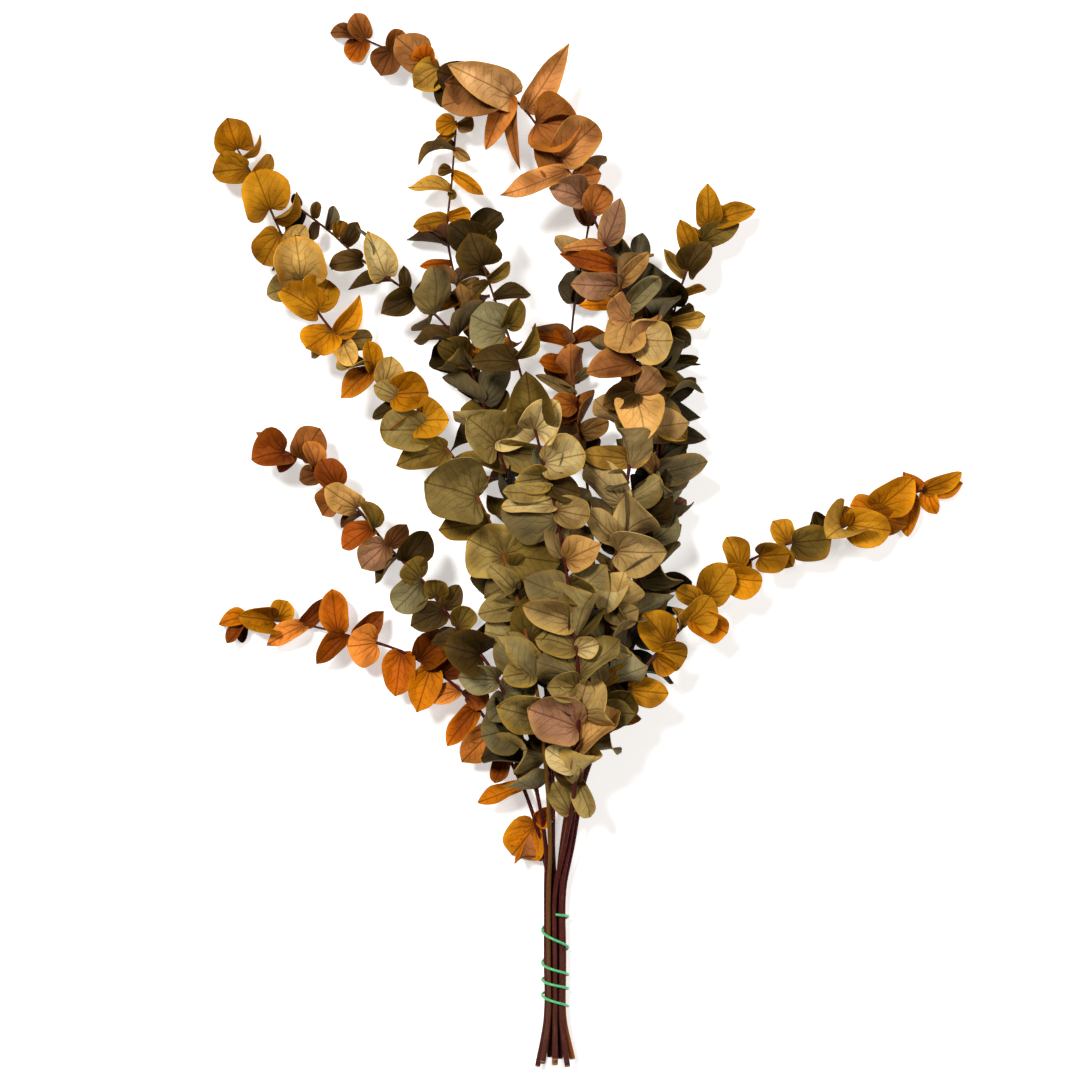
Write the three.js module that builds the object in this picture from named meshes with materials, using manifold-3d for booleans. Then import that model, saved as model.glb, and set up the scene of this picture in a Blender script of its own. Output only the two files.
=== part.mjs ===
// A bunch of dried eucalyptus, lying on a table as it was photographed from above.
//
// Eleven cut stems are bound near their lower ends by a green tie wound four times round them. Above the tie they
// fan out, and each carries leaves in opposite pairs up to its tip. A stem and its leaves grew as one piece, so they
// are one solid. The tie is a solid of its own.
//
// Millimetres. +Z is up from the table, +Y runs from the cut ends to the longest tip. The origin is on the table,
// under the middle of the bunch's box.
import * as THREE from "three";
import { mergeVertices } from "three/addons/utils/BufferGeometryUtils.js";
import Module from "manifold-3d";

const wasm = await Module();
wasm.setup();

// ---------------------------------------------------------------- driving dimensions

const GAP = 0.35; // least air between any two pieces
const TABLE = 0; // height of the surface that the bunch lies on
const MIDDLE = { x: 0.5, y: -0.1 }; // the middle of the bunch's box, which the origin is put under

// The bound part: eight stems in a ring round three.
const BUNDLE = { x: -20.7, z: 9.9, top: -233, middle: -279, bottom: -318 };
const STEM = {
  cut: 1.7, // its radius at the cut end, where it is tied and at its tip
  tied: 1.4,
  tip: 0.7,
  sides: 5,
  firstRings: [0, 15, 32], // distances from the cut end, where the stems open out
  ringEvery: 38,
};
const PITCH = 2 * STEM.tied + 0.95; // between the middles of two neighbours
const RING_RADIUS = 1.6 * PITCH;
const CORE_RADIUS = PITCH / Math.sqrt(3);
const SPLAY = 1.95; // how far the cut ends open out, against the bound part
const CUT_Y = [-344, -349, -346, -350, -345, -348]; // the cut ends aren't trimmed level

const TIE = {
  radius: 0.65,
  sides: 5,
  stepsPerTurn: 14,
  slack: 0.25, // it isn't drawn tight
  start: 90, // degrees round the bundle, from +X towards +Z
  // Y at the start, then at each half turn: right, left, right, ...
  y: [-248, -250, -259, -271, -281, -289, -292, -298, -302, -310],
};

const LEAF = {
  thick: 0.7,
  petiole: 3, // from the middle of the stem to the foot of the blade
  seenFrom: 1.5, // a seen leaf is measured from here, because its foot's lobes hide the petiole
  foot: 1.7, // the width of the blade at its foot
  root: 0.5, // how far the root goes past the middle of the stem
  // Where the outline's points stand along a round blade and along a pointed one, on both sides of the rib, and
  // how much wider they are drawn to make up for what straight edges cut off.
  round: { rim: [0.2, 0.7], grow: 1.1 },
  pointed: { rim: [0.36], grow: 1.2 },
  pointedFrom: 0.5,
  small: 16, // a blade shorter than this is drawn as a pointed one
  notch: 0.1, // how far the two lobes at the foot reach back
  liesFlat: 0.55, // the share of a leaf's slope that is left when the bunch lies on a table
  // How steeply a seen leaf leaves its stem: along the stem, and from `open` degrees off the stem onwards.
  rise: { along: 38, aside: 12, open: 60 },
  tries: 26,
  shrink: [1, 0.86, 0.72], // a leaf that finds no room is tried again at these sizes
};

// ---------------------------------------------------------------- the stems

// slot: where the stem is in the bound part, an angle on the ring or in the core, in degrees from +X towards +Z.
// route: the stem's line above the tie. lead: the length of bare stem, from the cut end to the first pair of leaves.
// every: from one pair to the next, near the first pair and near the tip.
// blades: the length of a blade, at even steps from the first pair to the tip. width: over that length.
// point: 0 is a round blade and 1 a pointed one. spread: degrees between a leaf and its stem.
// turn: how far the blades have turned to face up, from 0, as grown, to 1. Pairs of numbers are the ends of a draw.
//
// seen: the leaves that can be made out one by one in the photograph, mostly those that show against the table. Each
// is the distance of its foot from the cut end, the direction it points in as seen from above (degrees from +X
// towards +Y), the length and width of its blade, how pointed it is, and how far it is rolled to show its edge.
// until: the pairs of leaves up to this distance, which hide each other, are drawn by chance.
const STEMS = [
  {
    name: "stem_centre_olive",
    colour: 0x877844,
    slot: { radius: RING_RADIUS, angle: 90 },
    route: [[-15, -205, 25], [-9, -170, 45], [-6, -130, 64], [-6, -91, 73], [-9, -52, 76], [-15, -13, 76],
      [-22, 26, 74], [-32, 64, 70], [-46, 117, 62], [-60, 156, 56], [-75, 201, 48]],
    lead: 195,
    every: [25, 26],
    blades: [31, 34, 33, 29, 25],
    width: [0.86, 1.02],
    point: [0.1, 0.55],
    spread: [32, 70],
    turn: [0.4, 1],
    until: 400,
    seen: [
      [440, 98, 30, 33, 0.9, 0], [236, 160, 33, 32, 0.3, 0], [410, 12, 31, 25, 0.4, 0],
      [382, 178, 34, 15, 0.4, 50], [305, 162, 34, 19, 0.5, 0], [172, 108, 23, 16, 0.2, 15],
      [206, 146, 25, 18, 0.7, 10], [288, 155, 27, 20, 0.5, 25], [330, 325, 19, 17, 0.3, 10],
      [345, 25, 24, 21, 0.8, 0], [378, 350, 25, 22, 0.4, 0], [432, 42, 25, 26, 0.3, 0],
      [478, 175, 28, 18, 0.4, 15], [482, 42, 24, 13, 0.6, 60], [500, 156, 25, 31, 0.2, 0],
      [503, 72, 20, 14, 0.3, 20], [524, 8, 22, 13, 0.3, -35], [536, 35, 18, 9, 0.4, 20],
      [536, 222, 13, 8, 0.4, 30], [546, 112, 22, 26, 0.7, 0], [555, 55, 18, 11, 0.5, 30],
      [560, 140, 22, 23, 0.5, 0], [566, 50, 25, 19, 0.6, 0],
    ],
  },
  {
    name: "stem_arch_copper",
    colour: 0xa5713f,
    slot: { radius: RING_RADIUS, angle: 45 },
    route: [[-12, -206, 20.5], [-4, -155, 42], [7, -108, 56], [13, -59, 62], [19, -7, 62], [27, 45, 60], [32, 97, 58],
      [27, 144, 56], [13, 189, 52], [-5, 229, 46], [-25, 261, 38], [-50, 292, 28], [-87, 309, 16], [-124, 323, 6],
      [-156, 337, 0]],
    lead: 222,
    every: [23, 25],
    blades: [29, 32, 31, 29, 28, 40, 40, 18],
    width: [0.7, 1.05],
    point: [0.3, 0.95],
    spread: [35, 78],
    turn: [0.35, 1],
    until: 545,
    seen: [
      [196, 283, 28, 13, 0.2, 30], [557, 65, 30, 16, 0.7, 25], [580, 62, 21, 18, 0.3, 0],
      [590, 163, 22, 20, 0.6, 10], [606, 8, 18, 15, 0.5, 20], [612, 203, 49, 18, 0.95, 20],
      [622, 42, 35, 29, 0.5, 0], [648, 350, 35, 39, 0.95, 0], [662, 56, 50, 18, 0.95, 10],
      [676, 282, 46, 10, 1, 20], [680, 258, 42, 16, 0.9, 0], [682, 174, 45, 28, 0.6, -10],
      [688, 153, 42, 25, 0.35, 15], [716, 240, 24, 19, 0.4, 0], [730, 215, 20, 20, 0.3, 0],
      [742, 140, 25, 22, 0.4, 0], [740, 98, 13, 16, 0.1, 10], [740, 262, 15, 9, 0.6, 25],
      [766, 248, 20, 18, 0.2, 0], [768, 55, 15, 13, 0.3, 25], [786, 112, 17, 14, 0.2, 0],
      [787, 236, 17, 15, 0.1, 0], [795, 174, 14, 11, 0.2, 10],
    ],
  },
  {
    name: "stem_upper_left_gold",
    colour: 0xa9812f,
    slot: { radius: RING_RADIUS, angle: 135 },
    route: [[-24, -205, 22], [-27, -148, 44], [-34, -91, 56], [-47, -33, 58], [-64, 12, 56], [-86, 52, 50],
      [-112, 80, 42], [-141, 111, 35], [-175, 147, 28], [-193, 182, 22], [-211, 222, 15], [-232, 260, 8]],
    lead: 210,
    every: [26, 26],
    blades: [29, 38, 39, 30, 28, 30, 24],
    width: [0.92, 1.08],
    point: [0, 0.25],
    spread: [30, 68],
    turn: [0.5, 1],
    until: 322,
    seen: [
      [388, 164, 36, 41, 0.1, 0], [345, 152, 27, 35, 0.1, 0], [347, 352, 35, 29, 0.4, 0],
      [477, 2, 22, 23, 0.1, 0], [444, 181, 37, 27, 0.5, 0], [425, 192, 34, 20, 0.5, 15],
      [457, 228, 19, 20, 0.2, 15], [452, 8, 19, 25, 0.1, 10], [326, 200, 19, 16, 0.3, 20],
      [370, 186, 32, 18, 0.3, 15], [466, 196, 22, 12, 0.4, 30], [474, 150, 16, 14, 0.2, 10],
      [486, 74, 18, 17, 0.3, 10], [497, 100, 22, 14, 0.5, 30], [500, 222, 25, 16, 0.6, 15],
      [505, 196, 25, 14, 0.4, 40], [525, 295, 23, 16, 0.3, 20], [529, 2, 21, 17, 0.5, 10],
      [529, 200, 22, 14, 0.3, 30], [534, 46, 30, 14, 0.9, 25], [537, 215, 26, 24, 0.3, 0],
      [552, 144, 30, 21, 0.3, 10], [556, 60, 20, 24, 0.1, 0], [574, 196, 24, 18, 0.3, 10],
      [578, 96, 29, 32, 0.05, 0], [583, 165, 16, 15, 0.2, 20], [600, 50, 18, 14, 0.3, 10],
      [605, 28, 14, 12, 0.2, 10], [612, 243, 23, 23, 0.2, 0], [622, 30, 22, 15, 0.5, 60],
      [629, 112, 27, 32, 0.1, 0], [653, 45, 19, 14, 0.3, 40], [661, 188, 24, 20, 0.3, 0],
      [670, 36, 18, 12, 0.5, 70], [676, 108, 20, 25, 0.1, 0],
    ],
  },
  {
    name: "stem_left_rust",
    colour: 0x7b4f27,
    slot: { radius: RING_RADIUS, angle: 180 },
    route: [[-27, -202, 18], [-36, -152, 32], [-48, -115, 42], [-63, -84, 48], [-85, -57, 46], [-107, -28, 40],
      [-131, -4, 34], [-154, 24, 28], [-182, 50, 22], [-212, 63, 14]],
    lead: 190,
    every: [21, 18],
    blades: [27, 29, 26, 24, 25, 16],
    width: [0.78, 1.0],
    point: [0, 0.4],
    spread: [32, 72],
    turn: [0.3, 1],
    until: 232,
    seen: [
      [234, 195, 23, 27, 0.1, 0], [250, 218, 18, 20, 0.2, 10], [260, 18, 22, 21, 0.2, 0],
      [268, 175, 25, 18, 0.3, 0], [288, 162, 25, 27, 0.1, 0], [296, 42, 26, 15, 0.3, 20],
      [305, 215, 22, 14, 0.5, 50], [312, 58, 17, 15, 0.1, 0], [326, 204, 23, 18, 0.4, 0],
      [327, 55, 18, 14, 0.5, 20], [336, 82, 16, 14, 0.1, 0], [350, 226, 25, 22, 0.2, 0],
      [352, 128, 15, 18, 0.1, 15], [368, 50, 24, 20, 0.3, 10], [374, 230, 22, 13, 0.4, 50],
      [383, 50, 18, 14, 0.4, 25], [385, 224, 21, 19, 0.2, 0], [398, 106, 20, 15, 0.5, 55],
      [400, 214, 23, 18, 0.4, 10], [411, 232, 16, 11, 0.4, 30], [416, 146, 26, 19, 0.3, 0],
      [432, 246, 19, 20, 0.2, 0], [436, 120, 19, 18, 0.2, 0], [450, 198, 14, 13, 0.2, 10],
      [455, 108, 19, 15, 0.3, 20], [468, 55, 22, 21, 0.1, 0], [472, 225, 14, 10, 0.3, 20],
      [479, 184, 23, 24, 0.1, 0], [487, 126, 15, 10, 0.6, 60],
    ],
  },
  {
    name: "stem_right_gold",
    colour: 0xb07f26,
    slot: { radius: RING_RADIUS, angle: 0 },
    route: [[-9, -203, 15], [0, -154, 32], [16, -118, 42], [38, -84, 42], [63, -57, 36], [91, -25, 30],
      [124, -6, 24], [167, 7, 18], [203, 25, 9], [230, 35, 0]],
    lead: 270,
    every: [20, 16],
    blades: [25, 26, 24, 25, 28, 21],
    width: [0.82, 1.0],
    point: [0, 0.35],
    spread: [30, 65],
    turn: [0.5, 1],
    until: 230,
    seen: [
      [238, 5, 20, 10, 0.2, 30], [245, 52, 25, 21, 0.2, 0], [250, 140, 20, 18, 0.3, 20],
      [260, 355, 25, 17, 0.3, 0], [272, 148, 17, 15, 0.3, 20], [288, 328, 17, 14, 0.4, 25],
      [293, 350, 18, 18, 0.1, 0], [300, 128, 23, 24, 0.2, 0], [313, 100, 14, 10, 0.3, 30],
      [318, 36, 25, 24, 0.1, 0], [325, 330, 26, 20, 0.2, 15], [335, 155, 19, 14, 0.3, 10],
      [341, 54, 25, 24, 0.1, 0], [358, 355, 24, 21, 0.3, 0], [371, 115, 20, 18, 0.2, 0],
      [379, 268, 11, 8, 0.3, 50], [385, 4, 19, 19, 0.1, 0], [398, 310, 15, 12, 0.2, 10],
      [407, 120, 17, 16, 0.2, 10], [409, 5, 26, 24, 0.2, 0], [430, 110, 13, 12, 0.2, 20],
      [437, 140, 16, 18, 0.1, 0], [444, 202, 25, 27, 0.1, 0], [447, 105, 13, 12, 0.1, 10],
      [449, 352, 27, 25, 0.2, 0], [466, 338, 25, 17, 0.5, 10], [469, 165, 15, 16, 0.1, 10],
      [474, 42, 29, 23, 0.3, 0], [496, 100, 14, 14, 0.4, 20], [499, 262, 28, 13, 0.6, 10],
      [507, 18, 28, 13, 0.6, 15], [510, 296, 17, 12, 0.4, 15], [512, 355, 21, 13, 0.5, 0],
    ],
  },
  {
    name: "stem_inner_slate",
    colour: 0x75694a,
    slot: { radius: CORE_RADIUS, angle: 90 },
    route: [[-15.5, -207, 16.5], [-7, -163, 25], [14, -105, 35], [31, -46, 38], [40, 6, 38], [46, 59, 38], [47, 105, 38],
      [41, 141, 38], [31, 178, 36]],
    lead: 235,
    every: [24, 23],
    blades: [28, 30, 31, 32, 27],
    width: [0.75, 1.05],
    point: [0.1, 0.7],
    spread: [35, 80],
    turn: [0.3, 1],
  },
  {
    name: "stem_upper_left_umber",
    colour: 0x5a4c2e,
    slot: { radius: CORE_RADIUS, angle: 210 },
    route: [[-22.5, -208, 14.5], [-24.5, -149, 26], [-28, -86, 32], [-37, -27, 34], [-50, 33, 34], [-69, 92, 34],
      [-89, 136, 34], [-118, 163, 31], [-149, 185, 27], [-169, 203, 20], [-192, 221, 12]],
    lead: 225,
    every: [25, 21],
    blades: [29, 31, 31, 31, 28, 15],
    width: [0.72, 1.02],
    point: [0.1, 0.7],
    spread: [35, 82],
    turn: [0.2, 1],
    until: 512,
    seen: [
      [408, 352, 36, 23, 0.7, 10], [413, 138, 29, 31, 0.2, 0], [522, 60, 18, 14, 0.5, 15],
      [526, 206, 22, 17, 0.6, 0], [533, 95, 16, 9, 0.4, 30], [545, 186, 28, 15, 0.5, 50],
      [549, 112, 30, 21, 0.5, 0], [561, 93, 28, 12, 0.7, 65], [568, 188, 21, 15, 0.4, 0],
      [575, 205, 21, 10, 0.5, 30], [584, 62, 17, 11, 0.4, 10], [592, 70, 11, 9, 0.2, 0],
      [601, 72, 15, 8, 0.3, 30], [611, 256, 12, 8, 0.3, 20], [613, 80, 11, 7, 0.3, 20],
      [622, 235, 18, 9, 0.5, 10], [626, 110, 9, 6, 0.3, 10],
    ],
  },
  {
    name: "stem_low_left_orange",
    colour: 0xb8691f,
    slot: { radius: RING_RADIUS, angle: 225 },
    route: [[-29, -205, 12], [-41, -166, 16], [-55, -138, 18], [-70, -114, 20], [-95, -90, 19], [-125, -73, 16],
      [-157, -64, 12], [-190, -56, 5], [-230, -52, 0]],
    lead: 138,
    every: [20, 19],
    blades: [27, 31, 32, 31, 27, 17],
    width: [0.52, 0.9],
    point: [0.3, 0.9],
    spread: [35, 82],
    turn: [0.2, 1],
    until: 141,
    seen: [
      [162, 246, 25, 26, 0.1, 0], [166, 20, 13, 12, 0.3, 10], [190, 200, 31, 12, 0.5, 40],
      [197, 62, 17, 12, 0.4, 20], [214, 246, 21, 12, 0.4, 25], [232, 226, 27, 21, 0.4, 0],
      [236, 60, 18, 14, 0.3, 30], [250, 228, 31, 14, 0.6, 20], [262, 2, 18, 14, 0.3, 30],
      [266, 188, 21, 13, 0.3, 45], [282, 42, 20, 16, 0.3, 10], [291, 255, 31, 20, 0.5, 0],
      [300, 38, 30, 22, 0.5, 0], [313, 262, 28, 22, 0.4, 0], [330, 186, 19, 26, 0.2, 0],
      [345, 35, 23, 14, 0.5, 20], [352, 222, 26, 14, 0.7, 15], [358, 97, 30, 20, 0.5, 0],
      [381, 204, 28, 13, 0.6, 25], [383, 40, 23, 13, 0.6, 10], [400, 62, 14, 16, 0.2, 10],
      [402, 172, 25, 18, 0.5, 0], [419, 178, 20, 11, 0.4, 35], [423, 268, 16, 8, 0.5, 20],
      [421, 237, 25, 11, 0.6, 10],
    ],
  },
  {
    name: "stem_right_sage",
    colour: 0x76683a,
    slot: { radius: RING_RADIUS, angle: 315 },
    route: [[-13, -202, 10.5], [-1, -155, 16], [18, -106, 18], [34, -60, 18], [44, -14, 18], [49, 39, 18], [50, 86, 18],
      [53, 125, 18], [62, 165, 18], [74, 195, 17], [90, 222, 14]],
    lead: 240,
    every: [25, 22],
    blades: [29, 31, 27, 25, 24, 25],
    width: [0.68, 1],
    point: [0.2, 0.8],
    spread: [35, 80],
    turn: [0.3, 1],
    until: 486,
    seen: [
      [494, 330, 15, 13, 0.3, 10], [500, 174, 13, 7, 0.2, 20], [501, 0, 21, 12, 0.3, 25],
      [505, 32, 14, 14, 0.3, 20], [506, 176, 14, 11, 0.2, 20], [511, 112, 20, 21, 0.2, 0],
      [521, 18, 19, 11, 0.5, 65], [532, 128, 22, 11, 0.7, 45], [537, 50, 22, 20, 0.3, 0],
      [542, 146, 10, 6, 0.2, 20], [549, 114, 23, 13, 0.5, 0], [557, 25, 28, 15, 0.6, 0],
      [561, 150, 10, 6, 0.4, 40], [570, 92, 26, 17, 0.6, 0], [574, 18, 29, 14, 0.5, 0],
    ],
  },
  {
    name: "stem_thin_amber",
    colour: 0xa8702c,
    slot: { radius: RING_RADIUS, angle: 270 },
    route: [[-22, -206, 9], [-22, -166, 12], [-25, -113, 13], [-33, -53, 14], [-47, 6, 14], [-63, 66, 14],
      [-74, 126, 15], [-85, 165, 16], [-92, 202, 17], [-89, 238, 18], [-86, 278, 18]],
    lead: 395,
    every: [27, 25],
    blades: [26, 27, 25, 20],
    width: [0.7, 0.95],
    point: [0.1, 0.6],
    spread: [60, 95],
    turn: [0, 0.3],
    until: 556,
    seen: [
      [570, 188, 21, 12, 0.3, 20], [572, 12, 16, 10, 0.2, 20], [590, 172, 26, 14, 0.4, 60],
      [591, 290, 8, 5, 0.4, 20], [602, 325, 26, 9, 0.6, 20], [604, 200, 9, 7, 0.3, 20],
      [617, 181, 25, 14, 0.4, 62], [618, 318, 12, 7, 0.5, 20], [628, 216, 17, 8, 0.5, 20],
      [633, 20, 11, 11, 0.2, 30], [636, 202, 13, 13, 0.2, 15],
    ],
  },
  {
    name: "stem_hidden_ginger",
    colour: 0xa5602a,
    slot: { radius: CORE_RADIUS, angle: 330 },
    route: [[-17.5, -213, 10.5], [-12, -174, 12.5], [-2, -126, 14], [4, -73, 14], [5, -20, 14], [1, 33, 15], [-6, 79, 16],
      [-10, 129, 17], [-6, 168, 18], [1, 205, 18], [5, 236, 18]],
    lead: 395,
    every: [28, 25],
    blades: [25, 26, 24, 19],
    width: [0.7, 1],
    point: [0.2, 0.7],
    spread: [40, 88],
    turn: [0.2, 0.9],
  },
];
const TIE_COLOUR = 0x2fa05a;

// ---------------------------------------------------------------- small helpers

const radians = THREE.MathUtils.degToRad;
const UP = new THREE.Vector3(0, 0, 1);

// The value at `share` (0 to 1) along a list of evenly spaced values.
function along(values, share) {
  const at = THREE.MathUtils.clamp(share, 0, 1) * (values.length - 1);
  const i = Math.min(Math.floor(at), values.length - 2);
  return THREE.MathUtils.lerp(values[i], values[i + 1], at - i);
}

// The same run of random numbers for a leaf each time. Each call takes the two ends of the draw.
function drawsFor(stem, leaf) {
  let state = (7919 * (stem + 1) + 104729 * (leaf + 1)) % 2 ** 32;
  const next = () => {
    state = (1664525 * state + 1013904223) % 2 ** 32;
    return state / 2 ** 32;
  };
  for (let i = 0; i < 3; i++) next(); // the first numbers of two like seeds are alike
  return ([low, high]) => low + (high - low) * next();
}

// A closed geometry from points and the corners of its triangles.
function geometryOf(points, triangles) {
  const geometry = new THREE.BufferGeometry().setFromPoints(points);
  geometry.setIndex(triangles);
  return geometry;
}

function solidOf(geometry) {
  const merged = mergeVertices(geometry, 1e-4);
  const mesh = new wasm.Mesh({
    numProp: 3,
    vertProperties: new Float32Array(merged.getAttribute("position").array),
    triVerts: new Uint32Array(merged.index.array),
  });
  return new wasm.Manifold(mesh);
}

function geometryFrom(solid) {
  const mesh = solid.getMesh();
  const geometry = new THREE.BufferGeometry();
  geometry.setAttribute("position", new THREE.BufferAttribute(mesh.vertProperties, 3));
  geometry.setIndex(new THREE.BufferAttribute(mesh.triVerts, 1));
  geometry.computeVertexNormals();
  return geometry;
}

// Two directions square to a heading, the first of them as near as can be to `side`.
function acrossFrom(heading, side) {
  const first = side.clone().addScaledVector(heading, -heading.dot(side)).normalize();
  return [first, new THREE.Vector3().crossVectors(first, heading)];
}

// A round rod through `rings`, each { at, heading, side, radius }. A rod that runs level has a flat underside.
function rod(rings, sides) {
  const points = [];
  for (const { at, heading, side, radius } of rings) {
    const [first, second] = acrossFrom(heading, side);
    for (let k = 0; k < sides; k++) {
      const angle = (2 * Math.PI * (k + 0.5)) / sides - Math.PI / 2;
      const corner = at.clone().addScaledVector(first, radius * Math.cos(angle));
      points.push(corner.addScaledVector(second, radius * Math.sin(angle)));
    }
  }
  const triangles = [];
  for (let ring = 0; ring + 1 < rings.length; ring++)
    for (let k = 0; k < sides; k++) {
      const a = ring * sides + k;
      const b = ring * sides + ((k + 1) % sides);
      triangles.push(a, b + sides, b, a, a + sides, b + sides);
    }
  const last = (rings.length - 1) * sides;
  for (let k = 1; k + 1 < sides; k++) triangles.push(0, k, k + 1, last, last + k + 1, last + k);
  return geometryOf(points, triangles);
}

// ---------------------------------------------------------------- a stem

// The line of a stem from its cut end, through the bound part, along its route.
function stemCurve(spec, number) {
  const { radius, angle } = spec.slot;
  const aside = radius * Math.cos(radians(angle));
  const above = radius * Math.sin(radians(angle));
  const bound = (y) => new THREE.Vector3(BUNDLE.x + aside, y, BUNDLE.z + above);
  const cutEnd = new THREE.Vector3(
    BUNDLE.x + SPLAY * aside,
    CUT_Y[number % CUT_Y.length],
    BUNDLE.z + SPLAY * above,
  );
  const tied = [BUNDLE.bottom, BUNDLE.middle, BUNDLE.top].map(bound);
  return new THREE.CatmullRomCurve3([cutEnd, ...tied, ...spec.route.map((p) => new THREE.Vector3(...p))]);
}

// A stem's rings: how far each is from the cut end, its middle, its heading, a direction to its side and its radius.
function stemRings(curve) {
  const length = curve.getLength();
  const tied = curve.points[3].y - curve.points[0].y;
  const evenFrom = STEM.firstRings.at(-1);
  const steps = Math.round((length - evenFrom) / STEM.ringEvery);
  const reaches = [...STEM.firstRings];
  for (let i = 1; i <= steps; i++) reaches.push(evenFrom + ((length - evenFrom) * i) / steps);
  const rings = [];
  for (const reach of reaches) {
    const share = Math.min(reach / length, 1);
    const at = curve.getPointAt(share);
    const heading = curve.getTangentAt(share);
    const radius =
      reach < tied
        ? THREE.MathUtils.lerp(STEM.cut, STEM.tied, Math.min(1, (2 * reach) / tied))
        : THREE.MathUtils.lerp(STEM.tied, STEM.tip, (reach - tied) / (length - tied));
    const lowest = TABLE + radius * Math.cos(Math.PI / STEM.sides);
    if (at.z < lowest) {
      at.z = lowest; // it lies flat on the table
      heading.setZ(0).normalize();
    }
    rings.push({ reach, at, heading, side: new THREE.Vector3().crossVectors(heading, UP), radius });
  }
  return rings;
}

// The place at `reach` along a stem, on the straight line between two of its rings.
function stationOn(rings, reach) {
  const next = Math.max(1, rings.findIndex((ring) => ring.reach >= reach));
  const [a, b] = [rings[next - 1], rings[next]];
  const share = (reach - a.reach) / (b.reach - a.reach);
  const at = a.at.clone().lerp(b.at, share);
  const heading = a.heading.clone().lerp(b.heading, share).normalize();
  return { at, heading, side: new THREE.Vector3().crossVectors(heading, UP) };
}

// ---------------------------------------------------------------- a leaf

// A point of a blade in its own frame: X along the leaf from the middle of the stem, Y across it, Z out of its
// upper face. s runs from the foot (0) to the tip (1), and t from one edge (-1) over the rib (0) to the other (1).
function bladePoint(blade, s, t) {
  const round = 2 * Math.sqrt(s * (1 - s));
  const pointed = 2.598 * Math.sqrt(s) * (1 - s);
  const half = 0.5 * blade.width * THREE.MathUtils.lerp(round, pointed, blade.point);
  const reach = blade.length * (s - LEAF.notch * Math.abs(t) * (1 - s) ** 4);
  const bend = (blade.arch * reach) / blade.length; // the rib is an arc
  const across = t * half;
  const lift = blade.fold * Math.abs(across) + (blade.cup * across * across) / blade.length;
  const roll = blade.twist * s;
  const y = across * Math.cos(roll) - lift * Math.sin(roll);
  const out = across * Math.sin(roll) + lift * Math.cos(roll);
  return new THREE.Vector3(
    LEAF.petiole + (blade.length * Math.sin(bend)) / blade.arch - out * Math.sin(bend),
    y,
    (blade.length * (1 - Math.cos(bend))) / blade.arch + out * Math.cos(bend),
  );
}

// The points of a blade's outline, round from one corner of its foot to the other, and its triangles: a narrow
// one along the rib, and the two halves of the blade that fold up from it.
function bladeSheet(blade) {
  const plain = blade.point > LEAF.pointedFrom || blade.length < LEAF.small;
  const { rim, grow } = plain ? LEAF.pointed : LEAF.round;
  const points = [
    new THREE.Vector3(LEAF.petiole, LEAF.foot / 2, 0),
    ...rim.map((s) => bladePoint(blade, s, grow)),
    bladePoint(blade, 1, 0),
    ...rim.toReversed().map((s) => bladePoint(blade, s, -grow)),
    new THREE.Vector3(LEAF.petiole, -LEAF.foot / 2, 0),
  ];
  const last = points.length - 1;
  const tip = last / 2;
  const triangles = [[0, last, tip]];
  for (let i = 1; i < tip; i++) triangles.push([0, i + 1, i], [last, tip + i, tip + i - 1]);
  return { points, triangles, last };
}

// Gives a sheet of triangles its thickness, alike on both faces. The corners of the leaf's stalk, `flat`, are
// moved square to the stalk, which keeps its sides flat.
function thicken(points, triangles, flat, square) {
  const normals = points.map(() => new THREE.Vector3());
  for (const [a, b, c] of triangles) {
    const ab = points[b].clone().sub(points[a]);
    const normal = ab.cross(points[c].clone().sub(points[a])).normalize();
    for (const i of [a, b, c]) normals[i].add(normal);
  }
  for (const i of flat) normals[i].copy(square);
  const shift = (i, sign) => points[i].clone().addScaledVector(normals[i].normalize(), (sign * LEAF.thick) / 2);
  const count = points.length;
  const all = [...points.keys()].map((i) => shift(i, 1)).concat([...points.keys()].map((i) => shift(i, -1)));
  const corners = [];
  const edges = new Map();
  for (const [a, b, c] of triangles) {
    corners.push(a, b, c, a + count, c + count, b + count);
    for (const [p, q] of [[a, b], [b, c], [c, a]]) edges.set(p + "-" + q, [p, q]);
  }
  for (const [p, q] of edges.values())
    if (!edges.has(q + "-" + p)) corners.push(p, p + count, q + count, p, q + count, q);
  return geometryOf(all, corners);
}

// The way a leaf stands on its stem, as a matrix. azimuth is round the stem, from its side towards its top.
function leafStance(station, azimuth, spread, turn, roll) {
  const { at, heading } = station;
  const [side, top] = acrossFrom(heading, station.side);
  const outward = side.multiplyScalar(Math.cos(azimuth)).addScaledVector(top, Math.sin(azimuth));
  const x = heading.clone().multiplyScalar(Math.cos(spread)).addScaledVector(outward, Math.sin(spread));
  const z = heading.clone().multiplyScalar(Math.sin(spread)).addScaledVector(outward, -Math.cos(spread));
  x.z *= LEAF.liesFlat;
  x.normalize();
  z.lerp(new THREE.Vector3(0, 0, z.z < 0 ? -1 : 1), turn);
  z.addScaledVector(x, -z.dot(x)).normalize();
  z.applyAxisAngle(x, roll);
  const y = new THREE.Vector3().crossVectors(z, x);
  return new THREE.Matrix4().makeBasis(x, y, z).setPosition(at);
}

// The way a leaf stands that points in a known direction as seen from above. rise: from the level upwards.
function aimedStance(station, aim, rise, roll) {
  const level = Math.cos(rise);
  const x = new THREE.Vector3(Math.cos(aim) * level, Math.sin(aim) * level, Math.sin(rise));
  const z = UP.clone().addScaledVector(x, -x.z).normalize().applyAxisAngle(x, roll);
  const y = new THREE.Vector3().crossVectors(z, x);
  return new THREE.Matrix4().makeBasis(x, y, z).setPosition(station.at);
}

// ---------------------------------------------------------------- leaves that find room

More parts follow.
